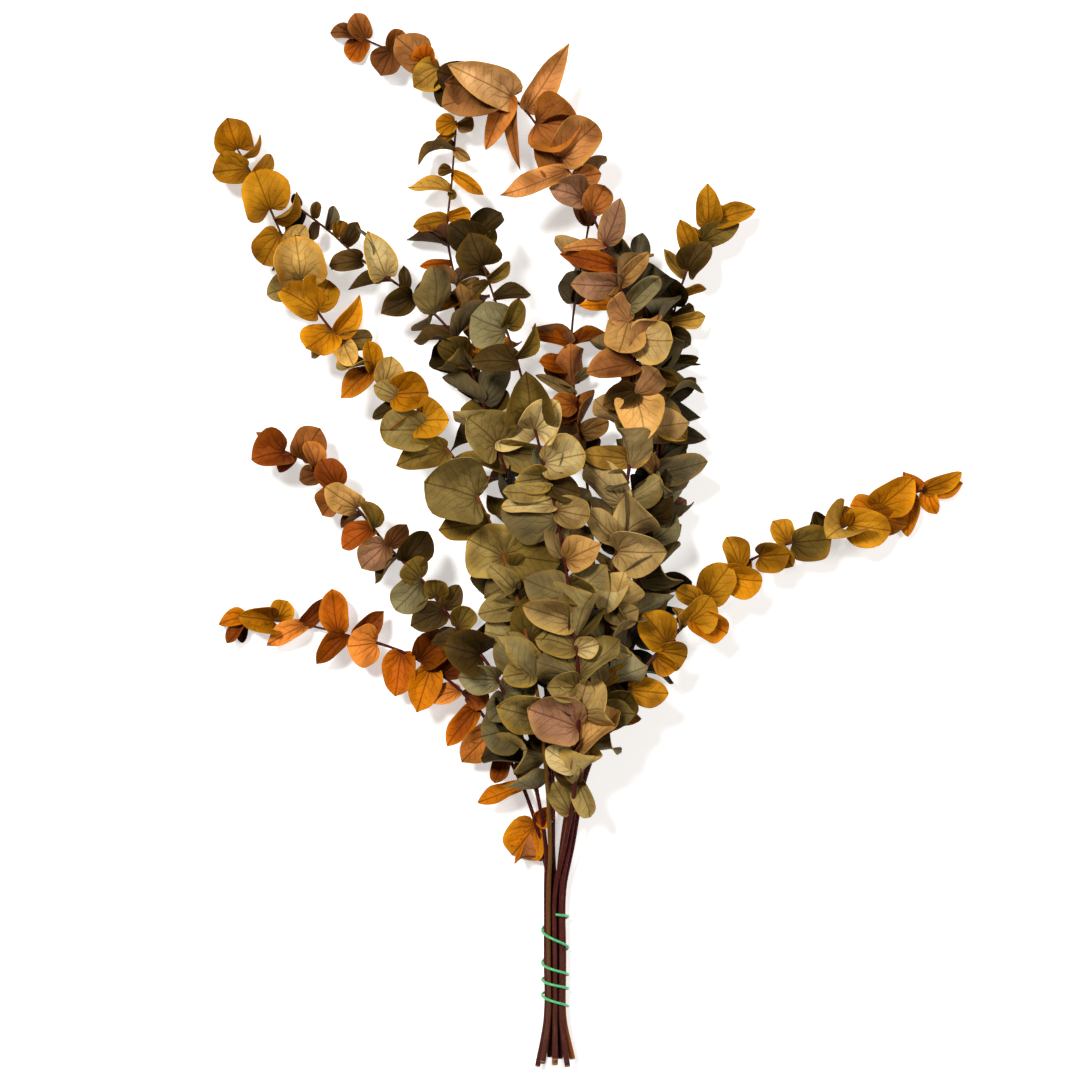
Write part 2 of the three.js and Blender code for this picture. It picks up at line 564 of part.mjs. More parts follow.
const touching = (a, b) =>
  a.min[0] - GAP < b.max[0] && b.min[0] - GAP < a.max[0] &&
  a.min[1] - GAP < b.max[1] && b.min[1] - GAP < a.max[1] &&
  a.min[2] - GAP < b.max[2] && b.min[2] - GAP < a.max[2];

const clear = (a, b) => !touching(a.boundingBox(), b.boundingBox()) || a.minGap(b, 2 * GAP) >= GAP;

// blade: the part that stands off the stem. leaf: the same with its root, which ends in the middle of the stem.
function leafSolids(blade, stance) {
  const sheet = bladeSheet(blade);
  const points = [...sheet.points, new THREE.Vector3(-LEAF.root, 0, 0)].map((p) => p.applyMatrix4(stance));
  const root = [points.length - 1, sheet.last, 0];
  const square = new THREE.Vector3().setFromMatrixColumn(stance, 2);
  if (Math.min(...points.map((p) => p.z)) < TABLE + LEAF.thick / 2) return null;
  return {
    blade: solidOf(thicken(points.slice(0, -1), sheet.triangles, root.slice(1), square)),
    leaf: solidOf(thicken(points, [...sheet.triangles, root], root, square)),
  };
}

function hasRoom(made, stemIndex, stems, placed) {
  if (!clear(made.blade, stems[stemIndex])) return false;
  if (stems.some((stem, i) => i !== stemIndex && !clear(made.leaf, stem))) return false;
  return placed.every((other) =>
    other.stemIndex === stemIndex
      ? clear(made.leaf, other.blade) && clear(made.blade, other.leaf)
      : clear(made.leaf, other.leaf),
  );
}

// Tries a blade in one stance after another until it is clear of all that is there already. `stance` is called with
// how far the stance may stray, from 0 to 1.
function findRoom(blade, stance, stemIndex, stems, placed) {
  for (let n = 0; n < LEAF.tries * LEAF.shrink.length; n++) {
    const scale = LEAF.shrink[Math.floor(n / LEAF.tries)];
    const smaller = { ...blade, length: blade.length * scale, width: blade.width * scale };
    const tried = leafSolids(smaller, stance((n % LEAF.tries) / LEAF.tries));
    if (!tried || !hasRoom(tried, stemIndex, stems, placed)) continue;
    placed.push({ ...tried, stemIndex });
    return;
  }
}

// The leaves of a stem that can be made out in the photograph.
function growSeen(spec, stemIndex, rings, stems, placed) {
  const seen = spec.seen ?? [];
  seen.forEach(([reach, aim, length, width, point, roll], i) => {
    const station = stationOn(rings, reach);
    const draw = drawsFor(stemIndex, 1000 + i);
    const blade = { length: length + LEAF.seenFrom - LEAF.petiole, width, point };
    Object.assign(blade, { fold: draw([0, 0.4]), cup: draw([0, 1]), twist: draw([-0.4, 0.4]) });
    const alike = Math.abs(Math.cos(radians(aim) - Math.atan2(station.heading.y, station.heading.x)));
    const open = Math.min(1, Math.acos(alike) / radians(LEAF.rise.open));
    const rise = radians(THREE.MathUtils.lerp(LEAF.rise.along, LEAF.rise.aside, open));
    blade.arch = draw([-0.15, 0.15]) - 1.1 * rise;
    const stance = (loose) =>
      aimedStance(
        station,
        radians(aim) + loose * draw([-0.5, 0.5]),
        rise + loose * draw([-0.9, 0.9]),
        radians(roll) + loose * draw([-0.8, 0.8]),
      );
    findRoom(blade, stance, stemIndex, stems, placed);
  });
}

// The distances of a stem's chance pairs from the cut end.
function pairStations(spec, length) {
  const last = spec.until ?? length - 6;
  const stations = [];
  for (let reach = spec.lead; reach < last; ) {
    stations.push(reach);
    reach += along(spec.every, (reach - spec.lead) / (length - spec.lead));
  }
  if (!spec.until) stations.push(length - 1);
  return stations;
}

// The leaves of a stem that are drawn by chance.
function growPairs(spec, stemIndex, length, rings, stems, placed) {
  pairStations(spec, length).forEach((reach, pair) => {
    const share = (reach - spec.lead) / (length - spec.lead);
    const station = stationOn(rings, reach);
    for (const half of [0, 1]) {
      const draw = drawsFor(stemIndex, 2 * pair + half);
      const size = along(spec.blades, share) * draw([0.88, 1.12]);
      const blade = { length: size, width: size * draw(spec.width), point: draw(spec.point) };
      Object.assign(blade, { arch: draw([-0.4, 0.7]), fold: draw([-0.1, 0.4]), cup: draw([0, 1.2]) });
      blade.twist = draw([-0.5, 0.5]);
      const grown = Math.PI * (half + 0.5 * ((pair + 1) % 2)); // each pair stands square to the one before
      const stance = (loose) => {
        const wide = 0.35 + 0.9 * loose;
        const azimuth = grown + draw([-wide, wide]);
        const spread = radians(draw(reach === length - 1 ? [8, 30] : spec.spread));
        return leafStance(station, azimuth, spread, draw(spec.turn), draw([-0.35, 0.35]));
      };
      findRoom(blade, stance, stemIndex, stems, placed);
    }
  });
}

// ---------------------------------------------------------------- the tie

// The tie starts on top of the bundle and runs over its right side, under it and over it again.
function tieRings() {
  const reach = RING_RADIUS + STEM.tied + GAP + TIE.radius + TIE.slack;
  const halfTurns = TIE.y.length - 2;
  const degrees = TIE.start + 180 * halfTurns;
  const count = Math.round((degrees * TIE.stepsPerTurn) / 360);
  const at = [];
  for (let i = 0; i <= count; i++) {
    const turned = (degrees * i) / count;
    const angle = radians(TIE.start - turned);
    const y =
      turned < TIE.start
        ? THREE.MathUtils.lerp(TIE.y[0], TIE.y[1], turned / TIE.start)
        : along(TIE.y.slice(1), (turned - TIE.start) / (180 * halfTurns));
    at.push(new THREE.Vector3(BUNDLE.x + reach * Math.cos(angle), y, BUNDLE.z + reach * Math.sin(angle)));
  }
  return at.map((p, i) => ({
    at: p,
    heading: at[Math.min(i + 1, count)].clone().sub(at[Math.max(i - 1, 0)]).normalize(),
    side: new THREE.Vector3(0, 1, 0),
    radius: TIE.radius,
  }));
}

// ---------------------------------------------------------------- the bunch

function pieceOf(name, solid, colour, roughness) {
  const material = new THREE.MeshStandardMaterial({ color: colour, roughness, metalness: 0 });
  const mesh = new THREE.Mesh(geometryFrom(solid), material);
  mesh.name = name;
  return mesh;
}

const bunch = new THREE.Group();
bunch.name = "dried_eucalyptus_bunch";
bunch.position.set(-MIDDLE.x, -MIDDLE.y, 0);
const curves = STEMS.map(stemCurve);
const rings = curves.map(stemRings);
const stems = rings.map((list) => solidOf(rod(list, STEM.sides)));
const placed = [];
STEMS.forEach((spec, i) => growSeen(spec, i, rings[i], stems, placed));
STEMS.forEach((spec, i) => growPairs(spec, i, curves[i].getLength(), rings[i], stems, placed));
STEMS.forEach((spec, i) => {
  const leaves = placed.filter((leaf) => leaf.stemIndex === i);
  const grown = leaves.reduce((solid, { leaf }) => solid.add(leaf), stems[i]);
  bunch.add(pieceOf(spec.name, grown, spec.colour, 0.75));
});
bunch.add(pieceOf("tie_green", solidOf(rod(tieRings(), TIE.sides)), TIE_COLOUR, 0.45));

export default bunch;
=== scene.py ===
# %% [markdown]
# # A bunch of dried eucalyptus, lying on a white table
#
# The bunch is eleven cut stems, tied near their lower ends with green wire. Each stem carries leaves in opposite
# pairs. They dried to mustard, orange, copper, khaki and dark olive. The leaves are thin, a little cupped and wavy,
# with a fine dark net of veins, and the bark is a dark red-brown.
#
# The packed model already says where every stem and leaf is, but its leaves are plain plates of a few triangles. This
# lesson puts a finely shaped leaf in the place of each plate and a round twig in the place of each rod. A leaf could
# be placed by eye or scattered over the stem, but the model's own rule is repeated here instead, so each leaf stays
# where the model has it. The model keeps a little air between its solids, so some leaves that lie on top of the real
# bunch found no room in it. They are added here.

import math
import random

import bmesh
import bpy
from mathutils import Matrix, Vector
from mathutils.kdtree import KDTree


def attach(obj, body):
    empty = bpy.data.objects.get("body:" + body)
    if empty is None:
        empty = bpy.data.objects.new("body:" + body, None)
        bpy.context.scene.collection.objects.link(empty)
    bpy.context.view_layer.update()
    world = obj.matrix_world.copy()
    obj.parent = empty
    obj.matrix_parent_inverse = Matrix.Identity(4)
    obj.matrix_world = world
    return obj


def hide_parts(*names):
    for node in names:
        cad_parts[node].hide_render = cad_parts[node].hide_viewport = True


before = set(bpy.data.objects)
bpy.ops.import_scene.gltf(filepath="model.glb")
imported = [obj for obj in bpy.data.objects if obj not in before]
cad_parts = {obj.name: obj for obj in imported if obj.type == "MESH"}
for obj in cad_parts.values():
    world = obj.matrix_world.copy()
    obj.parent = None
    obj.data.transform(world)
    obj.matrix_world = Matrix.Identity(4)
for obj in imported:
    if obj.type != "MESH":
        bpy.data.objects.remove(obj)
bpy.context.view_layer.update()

# %% [markdown]
# ## The camera and the light
#
# The photograph looks straight down on the bunch from about 2.4 m with a long lens, so there is hardly any
# perspective. The table is so bright that it comes out white, and the shadows are short, soft and lie mostly to the
# lower right. A big softbox could be an area light, but it would light the near end of the bunch more than the far
# end. A sun with a wide disc gives the same soft edge evenly all over, so two of them stand in: a strong one at the
# upper left and a weaker, wider one at the right. The table glows a little, as a light table does, and a dim white
# sky fills what is left.

# %% Camera
TOP_VIEW = Vector((-0.0312, -0.0002, 2.4))
LENS, SENSOR = 120, 36  # millimetres

camera = bpy.data.objects.new("camera", bpy.data.cameras.new("camera"))
camera.location = TOP_VIEW
camera.data.lens = LENS
camera.data.sensor_width = SENSOR
bpy.context.scene.collection.objects.link(camera)
bpy.context.scene.camera = camera
print("the camera is", TOP_VIEW.z, "m up")

# %% Softboxes and sky
# Each softbox: its name, where it stands as seen from the bunch, its strength and how wide it looks, in degrees.
SOFTBOXES = (("softbox", (-0.5, 0.52, 1.35), 3.7, 12), ("second_softbox", (0.75, 0.2, 1.2), 1.5, 25))
for name, place, strength, wide in SOFTBOXES:
    lamp = bpy.data.objects.new(name, bpy.data.lights.new(name, "SUN"))
    lamp.data.energy = strength
    lamp.data.angle = math.radians(wide)
    lamp.rotation_euler = Vector(place).to_track_quat("Z", "Y").to_euler()
    bpy.context.scene.collection.objects.link(lamp)

SKY_COLOUR, SKY_STRENGTH = (1.0, 0.985, 0.965, 1), 0.12
world = bpy.data.worlds.new("white_room")
world.use_nodes = True
world.node_tree.nodes["Background"].inputs["Color"].default_value = SKY_COLOUR
world.node_tree.nodes["Background"].inputs["Strength"].default_value = SKY_STRENGTH
bpy.context.scene.world = world
bpy.context.scene.view_settings.view_transform = "Standard"
print(len(SOFTBOXES), "softboxes")

# %% Table
TABLE_HALF = 6  # metres, so that its edge is never in view
TABLE_LOOK = {
    "Base Color": (0.8, 0.79, 0.775, 1),
    "Roughness": 0.9,
    "Emission Color": (1, 0.975, 0.95, 1),
    "Emission Strength": 0.5,
}
table = bmesh.new()
bmesh.ops.create_grid(table, x_segments=1, y_segments=1, size=TABLE_HALF)
floor = bpy.data.objects.new("table", bpy.data.meshes.new("table"))
table.to_mesh(floor.data)
table.free()
floor.data.materials.append(bpy.data.materials.new("light_table"))
floor.data.materials[0].use_nodes = True
for socket, value in TABLE_LOOK.items():
    floor.data.materials[0].node_tree.nodes["Principled BSDF"].inputs[socket].default_value = value
bpy.context.scene.collection.objects.link(floor)
print("the table is", 2 * TABLE_HALF, "m wide")

# %% [markdown]
# ## Sums that build a finish
#
# A dried leaf's colour comes from many small sums: how far a point is from a vein, how near the edge, how far
# along the blade. Wired by hand, each sum is a Math node. This small class wraps a socket, so that a sum is written
# as a sum and adds its own nodes.

# %% Wires
class Wire:
    """A socket of a finish. Sums on it add Math nodes."""

    def __init__(self, finish, socket):
        self.finish = finish
        self.socket = socket

    def sum(self, operation, *values):
        inputs = dict(enumerate(values))
        return self.finish.node("Math", {"operation": operation}, inputs)

    def __add__(self, other):
        return self.sum("ADD", self, other)

    def __sub__(self, other):
        return self.sum("SUBTRACT", self, other)

    def __rsub__(self, other):
        return self.sum("SUBTRACT", other, self)

    def __mul__(self, other):
        return self.sum("MULTIPLY", self, other)

    def __truediv__(self, other):
        return self.sum("DIVIDE", self, other)

    def __abs__(self):
        return self.sum("ABSOLUTE", self)

    __radd__ = __add__
    __rmul__ = __mul__

    def part(self):
        return self.sum("FRACT", self)

    def root(self):
        return self.sum("SQRT", self)

    def most(self, other):
        return self.sum("MAXIMUM", self, other)

    def fade(self, start, end, low=0.0, high=1.0):
        """From low at start to high at end, smoothly."""
        inputs = {"Value": self, "From Min": start, "From Max": end, "To Min": low, "To Max": high}
        return self.finish.node("MapRange", {"interpolation_type": "SMOOTHSTEP"}, inputs)


print("what a wire can do:", [name for name in vars(Wire) if not name.startswith("_")])


# %% Finishes
class Finish:
    """A material that is built from nodes."""

    def __init__(self, name):
        self.material = bpy.data.materials.new(name)
        self.material.use_nodes = True
        self.shader = self.material.node_tree.nodes["Principled BSDF"]

    def node(self, kind, settings, inputs, output=0):
        """Adds a node, makes its settings, fills its sockets and gives the wire from one of its outputs."""
        made = self.material.node_tree.nodes.new("ShaderNode" + kind)
        for name, value in settings.items():
            setattr(made, name, value)
        for name, value in inputs.items():
            self.fill(made.inputs[name], value)
        return Wire(self, made.outputs[output])

    def fill(self, socket, value):
        if isinstance(value, Wire):
            self.material.node_tree.links.new(value.socket, socket)
        else:
            socket.default_value = value

    def surface(self, inputs):
        for name, value in inputs.items():
            self.fill(self.shader.inputs[name], value)

    def attribute(self, name, output="Vector"):
        return self.node("Attribute", {"attribute_name": name}, {}, output)

    def split(self, vector):
        made = self.node("SeparateXYZ", {}, {"Vector": vector}).socket.node
        return [Wire(self, socket) for socket in made.outputs]

    def join(self, x, y, z):
        return self.node("CombineXYZ", {}, {"X": x, "Y": y, "Z": z})

    def noise(self, vector, scale, detail=2.0):
        return self.node("TexNoise", {}, {"Vector": vector, "Scale": scale, "Detail": detail})

    def blend(self, share, first, second, how="MIX"):
        """Two colours mixed: all of the second where share is 1."""
        inputs = {0: share, 6: first, 7: second}
        return self.node("Mix", {"data_type": "RGBA", "blend_type": how}, inputs, 2)

    def bump(self, height, strength, distance):
        inputs = {"Height": height, "Strength": strength, "Distance": distance}
        return self.node("Bump", {}, inputs)


def paint(code):
    """A colour from its six hexadecimal digits, through the curve of sRGB, as the shader wants it."""
    parts = [int(code[i : i + 2], 16) / 255 for i in (0, 2, 4)]
    return tuple(p / 12.92 if p <= 0.04045 else ((p + 0.055) / 1.055) ** 2.4 for p in parts) + (1.0,)


print("middle grey, as the shader wants it:", paint("808080"))

# %% [markdown]
# ## The lines of the stems
#
# A stem is a smooth line from its cut end, through the tie, out to its tip. The model describes it by a few points
# and joins them with a centripetal curve, which runs through every point and doesn't loop or overshoot where two
# points are close. Blender's own splines round the points off differently, so the leaves would end up beside their
# stems. The curve is written out below instead, with the same measure of length along it.

# %% The stems: where each is tied, its line above the tie and how its leaves grow. Millimetres
PITCH = 3.75  # between the middles of two stems in the tie
RING = 1.6 * PITCH  # the radius of the circle of eight stems in the tie
CORE = PITCH / math.sqrt(3)  # the same for the three in the middle
TIED_X, TIED_Z = -20.7, 9.9  # the middle of the tied part
TIED_Y = (-318, -279, -233)  # points along it
CUT_Y = (-344, -349, -346, -350, -345, -348)  # the cut ends aren't trimmed level
SPLAY = 1.95  # how far the cut ends open out, against the tied part
CUT_RADIUS, TIED_RADIUS, TIP_RADIUS = 1.7, 1.4, 0.7
TO_FRAME = Matrix.Scale(0.001, 4) @ Matrix.Translation((-0.5, 0.1, 0))  # from millimetres to the packed frame


class Stem:
    """A stem: its name, its place in the tie (a radius and an angle) and how its leaves grow.

    route: its line above the tie. lead: from the cut end to the first pair of leaves. every: from one pair to the
    next, near the first pair and near the tip. until: pairs up to here are drawn by chance. blades: how long a leaf
    is, at even steps from the first pair to the tip. width: over that length. point: 0 is a round leaf and 1 a
    pointed one. spread: degrees between a leaf and its stem. turn: how far the leaves turned to face up, from 0 to 1.
    Pairs of numbers are the ends of a draw.

    seen: the leaves that were read from the photograph one by one. Each is where it stands along the stem, its
    direction from above in degrees, its length, its width, how pointed it is, how far it is rolled on its edge, and
    its colour.
    """

    def __init__(self, name, radius, angle, **facts):
        self.name = name
        self.aside = radius * math.cos(math.radians(angle))
        self.above = radius * math.sin(math.radians(angle))
        self.__dict__.update(facts)


STEMS = (
    Stem("stem_centre_olive", RING, 90, lead=195, until=400, every=(25, 26),
        blades=(31, 34, 33, 29, 25), width=(0.86, 1.02), point=(0.1, 0.55),
        spread=(32, 70), turn=(0.4, 1), route=(
            (-15, -205, 25), (-9, -170, 45), (-6, -130, 64), (-6, -91, 73), (-9, -52, 76), (-15, -13, 76),
            (-22, 26, 74), (-32, 64, 70), (-46, 117, 62), (-60, 156, 56), (-75, 201, 48)),
        seen=(
            (440, 98, 30, 33, 0.9, 0, "olive"), (236, 160, 33, 32, 0.3, 0, "mauve"),
            (410, 12, 31, 25, 0.4, 0, "hay"), (382, 178, 34, 15, 0.4, 50, "hay"),
            (305, 162, 34, 19, 0.5, 0, "khaki_tan"), (172, 108, 23, 16, 0.2, 15, "khaki"),
            (206, 146, 25, 18, 0.7, 10, "hay"), (288, 155, 27, 20, 0.5, 25, "khaki"),
            (330, 325, 19, 17, 0.3, 10, "khaki"), (345, 25, 24, 21, 0.8, 0, "tan"),
            (378, 350, 25, 22, 0.4, 0, "khaki_tan"), (432, 42, 25, 26, 0.3, 0, "hay"),
            (478, 175, 28, 18, 0.4, 15, "dark_olive"), (482, 42, 24, 13, 0.6, 60, "olive"),
            (500, 156, 25, 31, 0.2, 0, "sage"), (503, 72, 20, 14, 0.3, 20, "olive"),
            (524, 8, 22, 13, 0.3, -35, "dark_olive"), (536, 35, 18, 9, 0.4, 20, "olive"),
            (536, 222, 13, 8, 0.4, 30, "olive"), (546, 112, 22, 26, 0.7, 0, "dark_olive"),
            (555, 55, 18, 11, 0.5, 30, "olive"), (560, 140, 22, 23, 0.5, 0, "dark_olive"),
            (566, 50, 25, 19, 0.6, 0, "dark_olive"))),
    Stem("stem_arch_copper", RING, 45, lead=222, until=545, every=(23, 25),
        blades=(29, 32, 31, 29, 28, 40, 40, 18), width=(0.7, 1.05), point=(0.3, 0.95),
        spread=(35, 78), turn=(0.35, 1), route=(
            (-12, -206, 20.5), (-4, -155, 42), (7, -108, 56), (13, -59, 62), (19, -7, 62), (27, 45, 60),
            (32, 97, 58), (27, 144, 56), (13, 189, 52), (-5, 229, 46), (-25, 261, 38), (-50, 292, 28),
            (-87, 309, 16), (-124, 323, 6), (-156, 337, 0)),
        seen=(
            (196, 283, 28, 13, 0.2, 30, "khaki"), (557, 65, 30, 16, 0.7, 25, "mauve"),
            (580, 62, 21, 18, 0.3, 0, "copper"), (590, 163, 22, 20, 0.6, 10, "mauve"),
            (606, 8, 18, 15, 0.5, 20, "copper"), (612, 203, 49, 18, 0.95, 20, "copper_tan"),
            (622, 42, 35, 29, 0.5, 0, "copper_tan"), (648, 350, 35, 39, 0.95, 0, "copper"),
            (662, 56, 50, 18, 0.95, 10, "copper_tan"), (676, 282, 46, 10, 1, 20, "copper"),
            (680, 258, 42, 16, 0.9, 0, "copper"), (682, 174, 45, 28, 0.6, -10, "copper_tan"),
            (688, 153, 42, 25, 0.35, 15, "copper_tan"), (716, 240, 24, 19, 0.4, 0, "mustard_tan"),
            (730, 215, 20, 20, 0.3, 0, "mustard_tan"), (742, 140, 25, 22, 0.4, 0, "copper_tan"),
            (740, 98, 13, 16, 0.1, 10, "orange"), (740, 262, 15, 9, 0.6, 25, "orange"),
            (766, 248, 20, 18, 0.2, 0, "bark_brown"), (768, 55, 15, 13, 0.3, 25, "copper"),
            (786, 112, 17, 14, 0.2, 0, "copper"), (787, 236, 17, 15, 0.1, 0, "orange"),
            (795, 174, 14, 11, 0.2, 10, "bark_brown"))),
    Stem("stem_upper_left_gold", RING, 135, lead=210, until=322, every=(26, 26),
        blades=(29, 38, 39, 30, 28, 30, 24), width=(0.92, 1.08), point=(0, 0.25),
        spread=(30, 68), turn=(0.5, 1), route=(
            (-24, -205, 22), (-27, -148, 44), (-34, -91, 56), (-47, -33, 58), (-64, 12, 56), (-86, 52, 50),
            (-112, 80, 42), (-141, 111, 35), (-175, 147, 28), (-193, 182, 22), (-211, 222, 15), (-232, 260, 8)),
        seen=(
            (388, 164, 36, 41, 0.1, 0, "khaki"), (345, 152, 27, 35, 0.1, 0, "khaki"),
            (347, 352, 35, 29, 0.4, 0, "olive"), (477, 2, 22, 23, 0.1, 0, "gold"),
            (444, 181, 37, 27, 0.5, 0, "khaki"), (425, 192, 34, 20, 0.5, 15, "olive"),
            (457, 228, 19, 20, 0.2, 15, "amber"), (452, 8, 19, 25, 0.1, 10, "mustard"),
            (326, 200, 19, 16, 0.3, 20, "khaki"), (370, 186, 32, 18, 0.3, 15, "olive"),
            (466, 196, 22, 12, 0.4, 30, "dark_olive"), (474, 150, 16, 14, 0.2, 10, "khaki"),
            (486, 74, 18, 17, 0.3, 10, "straw"), (497, 100, 22, 14, 0.5, 30, "gold"),
            (500, 222, 25, 16, 0.6, 15, "amber"), (505, 196, 25, 14, 0.4, 40, "khaki"),
            (525, 295, 23, 16, 0.3, 20, "straw"), (529, 2, 21, 17, 0.5, 10, "straw"),
            (529, 200, 22, 14, 0.3, 30, "olive"), (534, 46, 30, 14, 0.9, 25, "gold"),
            (537, 215, 26, 24, 0.3, 0, "gold"), (552, 144, 30, 21, 0.3, 10, "mustard"),
            (556, 60, 20, 24, 0.1, 0, "mustard"), (574, 196, 24, 18, 0.3, 10, "khaki"),
            (578, 96, 29, 32, 0.05, 0, "straw"), (583, 165, 16, 15, 0.2, 20, "mustard"),
            (600, 50, 18, 14, 0.3, 10, "straw"), (605, 28, 14, 12, 0.2, 10, "gold"),
            (612, 243, 23, 23, 0.2, 0, "mustard"), (622, 30, 22, 15, 0.5, 60, "mustard"),
            (629, 112, 27, 32, 0.1, 0, "mustard"), (653, 45, 19, 14, 0.3, 40, "mustard"),
            (661, 188, 24, 20, 0.3, 0, "mustard"), (670, 36, 18, 12, 0.5, 70, "mustard"),
            (676, 108, 20, 25, 0.1, 0, "gold"))),
    Stem("stem_left_rust", RING, 180, lead=190, until=232, every=(21, 18),
        blades=(27, 29, 26, 24, 25, 16), width=(0.78, 1.0), point=(0, 0.4),
        spread=(32, 72), turn=(0.3, 1), route=(
            (-27, -202, 18), (-36, -152, 32), (-48, -115, 42), (-63, -84, 48), (-85, -57, 46), (-107, -28, 40),
            (-131, -4, 34), (-154, 24, 28), (-182, 50, 22), (-212, 63, 14)),
        seen=(
            (234, 195, 23, 27, 0.1, 0, "sage"), (250, 218, 18, 20, 0.2, 10, "sage"),
            (260, 18, 22, 21, 0.2, 0, "sage"), (268, 175, 25, 18, 0.3, 0, "sage"),
            (288, 162, 25, 27, 0.1, 0, "dark_olive"), (296, 42, 26, 15, 0.3, 20, "dark_olive"),
            (305, 215, 22, 14, 0.5, 50, "umber"), (312, 58, 17, 15, 0.1, 0, "olive"),
            (326, 204, 23, 18, 0.4, 0, "dark_olive"), (327, 55, 18, 14, 0.5, 20, "dark_olive"),
            (336, 82, 16, 14, 0.1, 0, "olive"), (350, 226, 25, 22, 0.2, 0, "sage"),
            (352, 128, 15, 18, 0.1, 15, "olive"), (368, 50, 24, 20, 0.3, 10, "dark_olive"),
            (374, 230, 22, 13, 0.4, 50, "umber"), (383, 50, 18, 14, 0.4, 25, "bark_brown"),
            (385, 224, 21, 19, 0.2, 0, "mauve"), (398, 106, 20, 15, 0.5, 55, "olive"),
            (400, 214, 23, 18, 0.4, 10, "rust"), (411, 232, 16, 11, 0.4, 30, "rust"),
            (416, 146, 26, 19, 0.3, 0, "tan"), (432, 246, 19, 20, 0.2, 0, "copper"),
            (436, 120, 19, 18, 0.2, 0, "rust"), (450, 198, 14, 13, 0.2, 10, "bark_brown"),
            (455, 108, 19, 15, 0.3, 20, "copper"), (468, 55, 22, 21, 0.1, 0, "copper"),
            (472, 225, 14, 10, 0.3, 20, "rust"), (479, 184, 23, 24, 0.1, 0, "rust"),
            (487, 126, 15, 10, 0.6, 60, "copper"))),
    Stem("stem_right_gold", RING, 0, lead=270, until=230, every=(20, 16),
        blades=(25, 26, 24, 25, 28, 21), width=(0.82, 1.0), point=(0, 0.35),
        spread=(30, 65), turn=(0.5, 1), route=(
            (-9, -203, 15), (0, -154, 32), (16, -118, 42), (38, -84, 42), (63, -57, 36), (91, -25, 30),
            (124, -6, 24), (167, 7, 18), (203, 25, 9), (230, 35, 0)),
        seen=(
            (238, 5, 20, 10, 0.2, 30, "amber"), (245, 52, 25, 21, 0.2, 0, "olive"),
            (250, 140, 20, 18, 0.3, 20, "mustard_tan"), (260, 355, 25, 17, 0.3, 0, "mustard"),
            (272, 148, 17, 15, 0.3, 20, "gold"), (288, 328, 17, 14, 0.4, 25, "gold"),
            (293, 350, 18, 18, 0.1, 0, "mustard"), (300, 128, 23, 24, 0.2, 0, "mustard"),
            (313, 100, 14, 10, 0.3, 30, "mustard_tan"), (318, 36, 25, 24, 0.1, 0, "mustard"),
            (325, 330, 26, 20, 0.2, 15, "amber"), (335, 155, 19, 14, 0.3, 10, "mustard"),
            (341, 54, 25, 24, 0.1, 0, "mustard"), (358, 355, 24, 21, 0.3, 0, "gold"),
            (371, 115, 20, 18, 0.2, 0, "mustard"), (379, 268, 11, 8, 0.3, 50, "mustard"),
            (385, 4, 19, 19, 0.1, 0, "mustard"), (398, 310, 15, 12, 0.2, 10, "mustard"),
            (407, 120, 17, 16, 0.2, 10, "mustard"), (409, 5, 26, 24, 0.2, 0, "olive"),
            (430, 110, 13, 12, 0.2, 20, "olive"), (437, 140, 16, 18, 0.1, 0, "gold"),
            (444, 202, 25, 27, 0.1, 0, "mustard_tan"), (447, 105, 13, 12, 0.1, 10, "gold"),
            (449, 352, 27, 25, 0.2, 0, "mustard"), (466, 338, 25, 17, 0.5, 10, "amber"),
            (469, 165, 15, 16, 0.1, 10, "amber"), (474, 42, 29, 23, 0.3, 0, "gold"),
            (496, 100, 14, 14, 0.4, 20, "orange"), (499, 262, 28, 13, 0.6, 10, "amber"),
            (507, 18, 28, 13, 0.6, 15, "gold"), (510, 296, 17, 12, 0.4, 15, "amber"),
            (512, 355, 21, 13, 0.5, 0, "amber"))),
    Stem("stem_inner_slate", CORE, 90, lead=235, until=None, every=(24, 23),
        blades=(28, 30, 31, 32, 27), width=(0.75, 1.05), point=(0.1, 0.7),
        spread=(35, 80), turn=(0.3, 1), route=(
            (-15.5, -207, 16.5), (-7, -163, 25), (14, -105, 35), (31, -46, 38), (40, 6, 38), (46, 59, 38),
            (47, 105, 38), (41, 141, 38), (31, 178, 36)), seen=()),
    Stem("stem_upper_left_umber", CORE, 210, lead=225, until=512, every=(25, 21),
        blades=(29, 31, 31, 31, 28, 15), width=(0.72, 1.02), point=(0.1, 0.7),
        spread=(35, 82), turn=(0.2, 1), route=(
            (-22.5, -208, 14.5), (-24.5, -149, 26), (-28, -86, 32), (-37, -27, 34), (-50, 33, 34), (-69, 92, 34),
            (-89, 136, 34), (-118, 163, 31), (-149, 185, 27), (-169, 203, 20), (-192, 221, 12)),
        seen=(
            (408, 352, 36, 23, 0.7, 10, "khaki"), (413, 138, 29, 31, 0.2, 0, "khaki"),
            (522, 60, 18, 14, 0.5, 15, "dark_olive"), (526, 206, 22, 17, 0.6, 0, "dark_olive"),
            (533, 95, 16, 9, 0.4, 30, "umber"), (545, 186, 28, 15, 0.5, 50, "dark_olive"),
            (549, 112, 30, 21, 0.5, 0, "hay"), (561, 93, 28, 12, 0.7, 65, "slate"),
            (568, 188, 21, 15, 0.4, 0, "umber"), (575, 205, 21, 10, 0.5, 30, "slate"),
            (584, 62, 17, 11, 0.4, 10, "umber"), (592, 70, 11, 9, 0.2, 0, "mustard"),
            (601, 72, 15, 8, 0.3, 30, "slate"), (611, 256, 12, 8, 0.3, 20, "umber"),
            (613, 80, 11, 7, 0.3, 20, "umber"), (622, 235, 18, 9, 0.5, 10, "umber"),
            (626, 110, 9, 6, 0.3, 10, "slate"))),
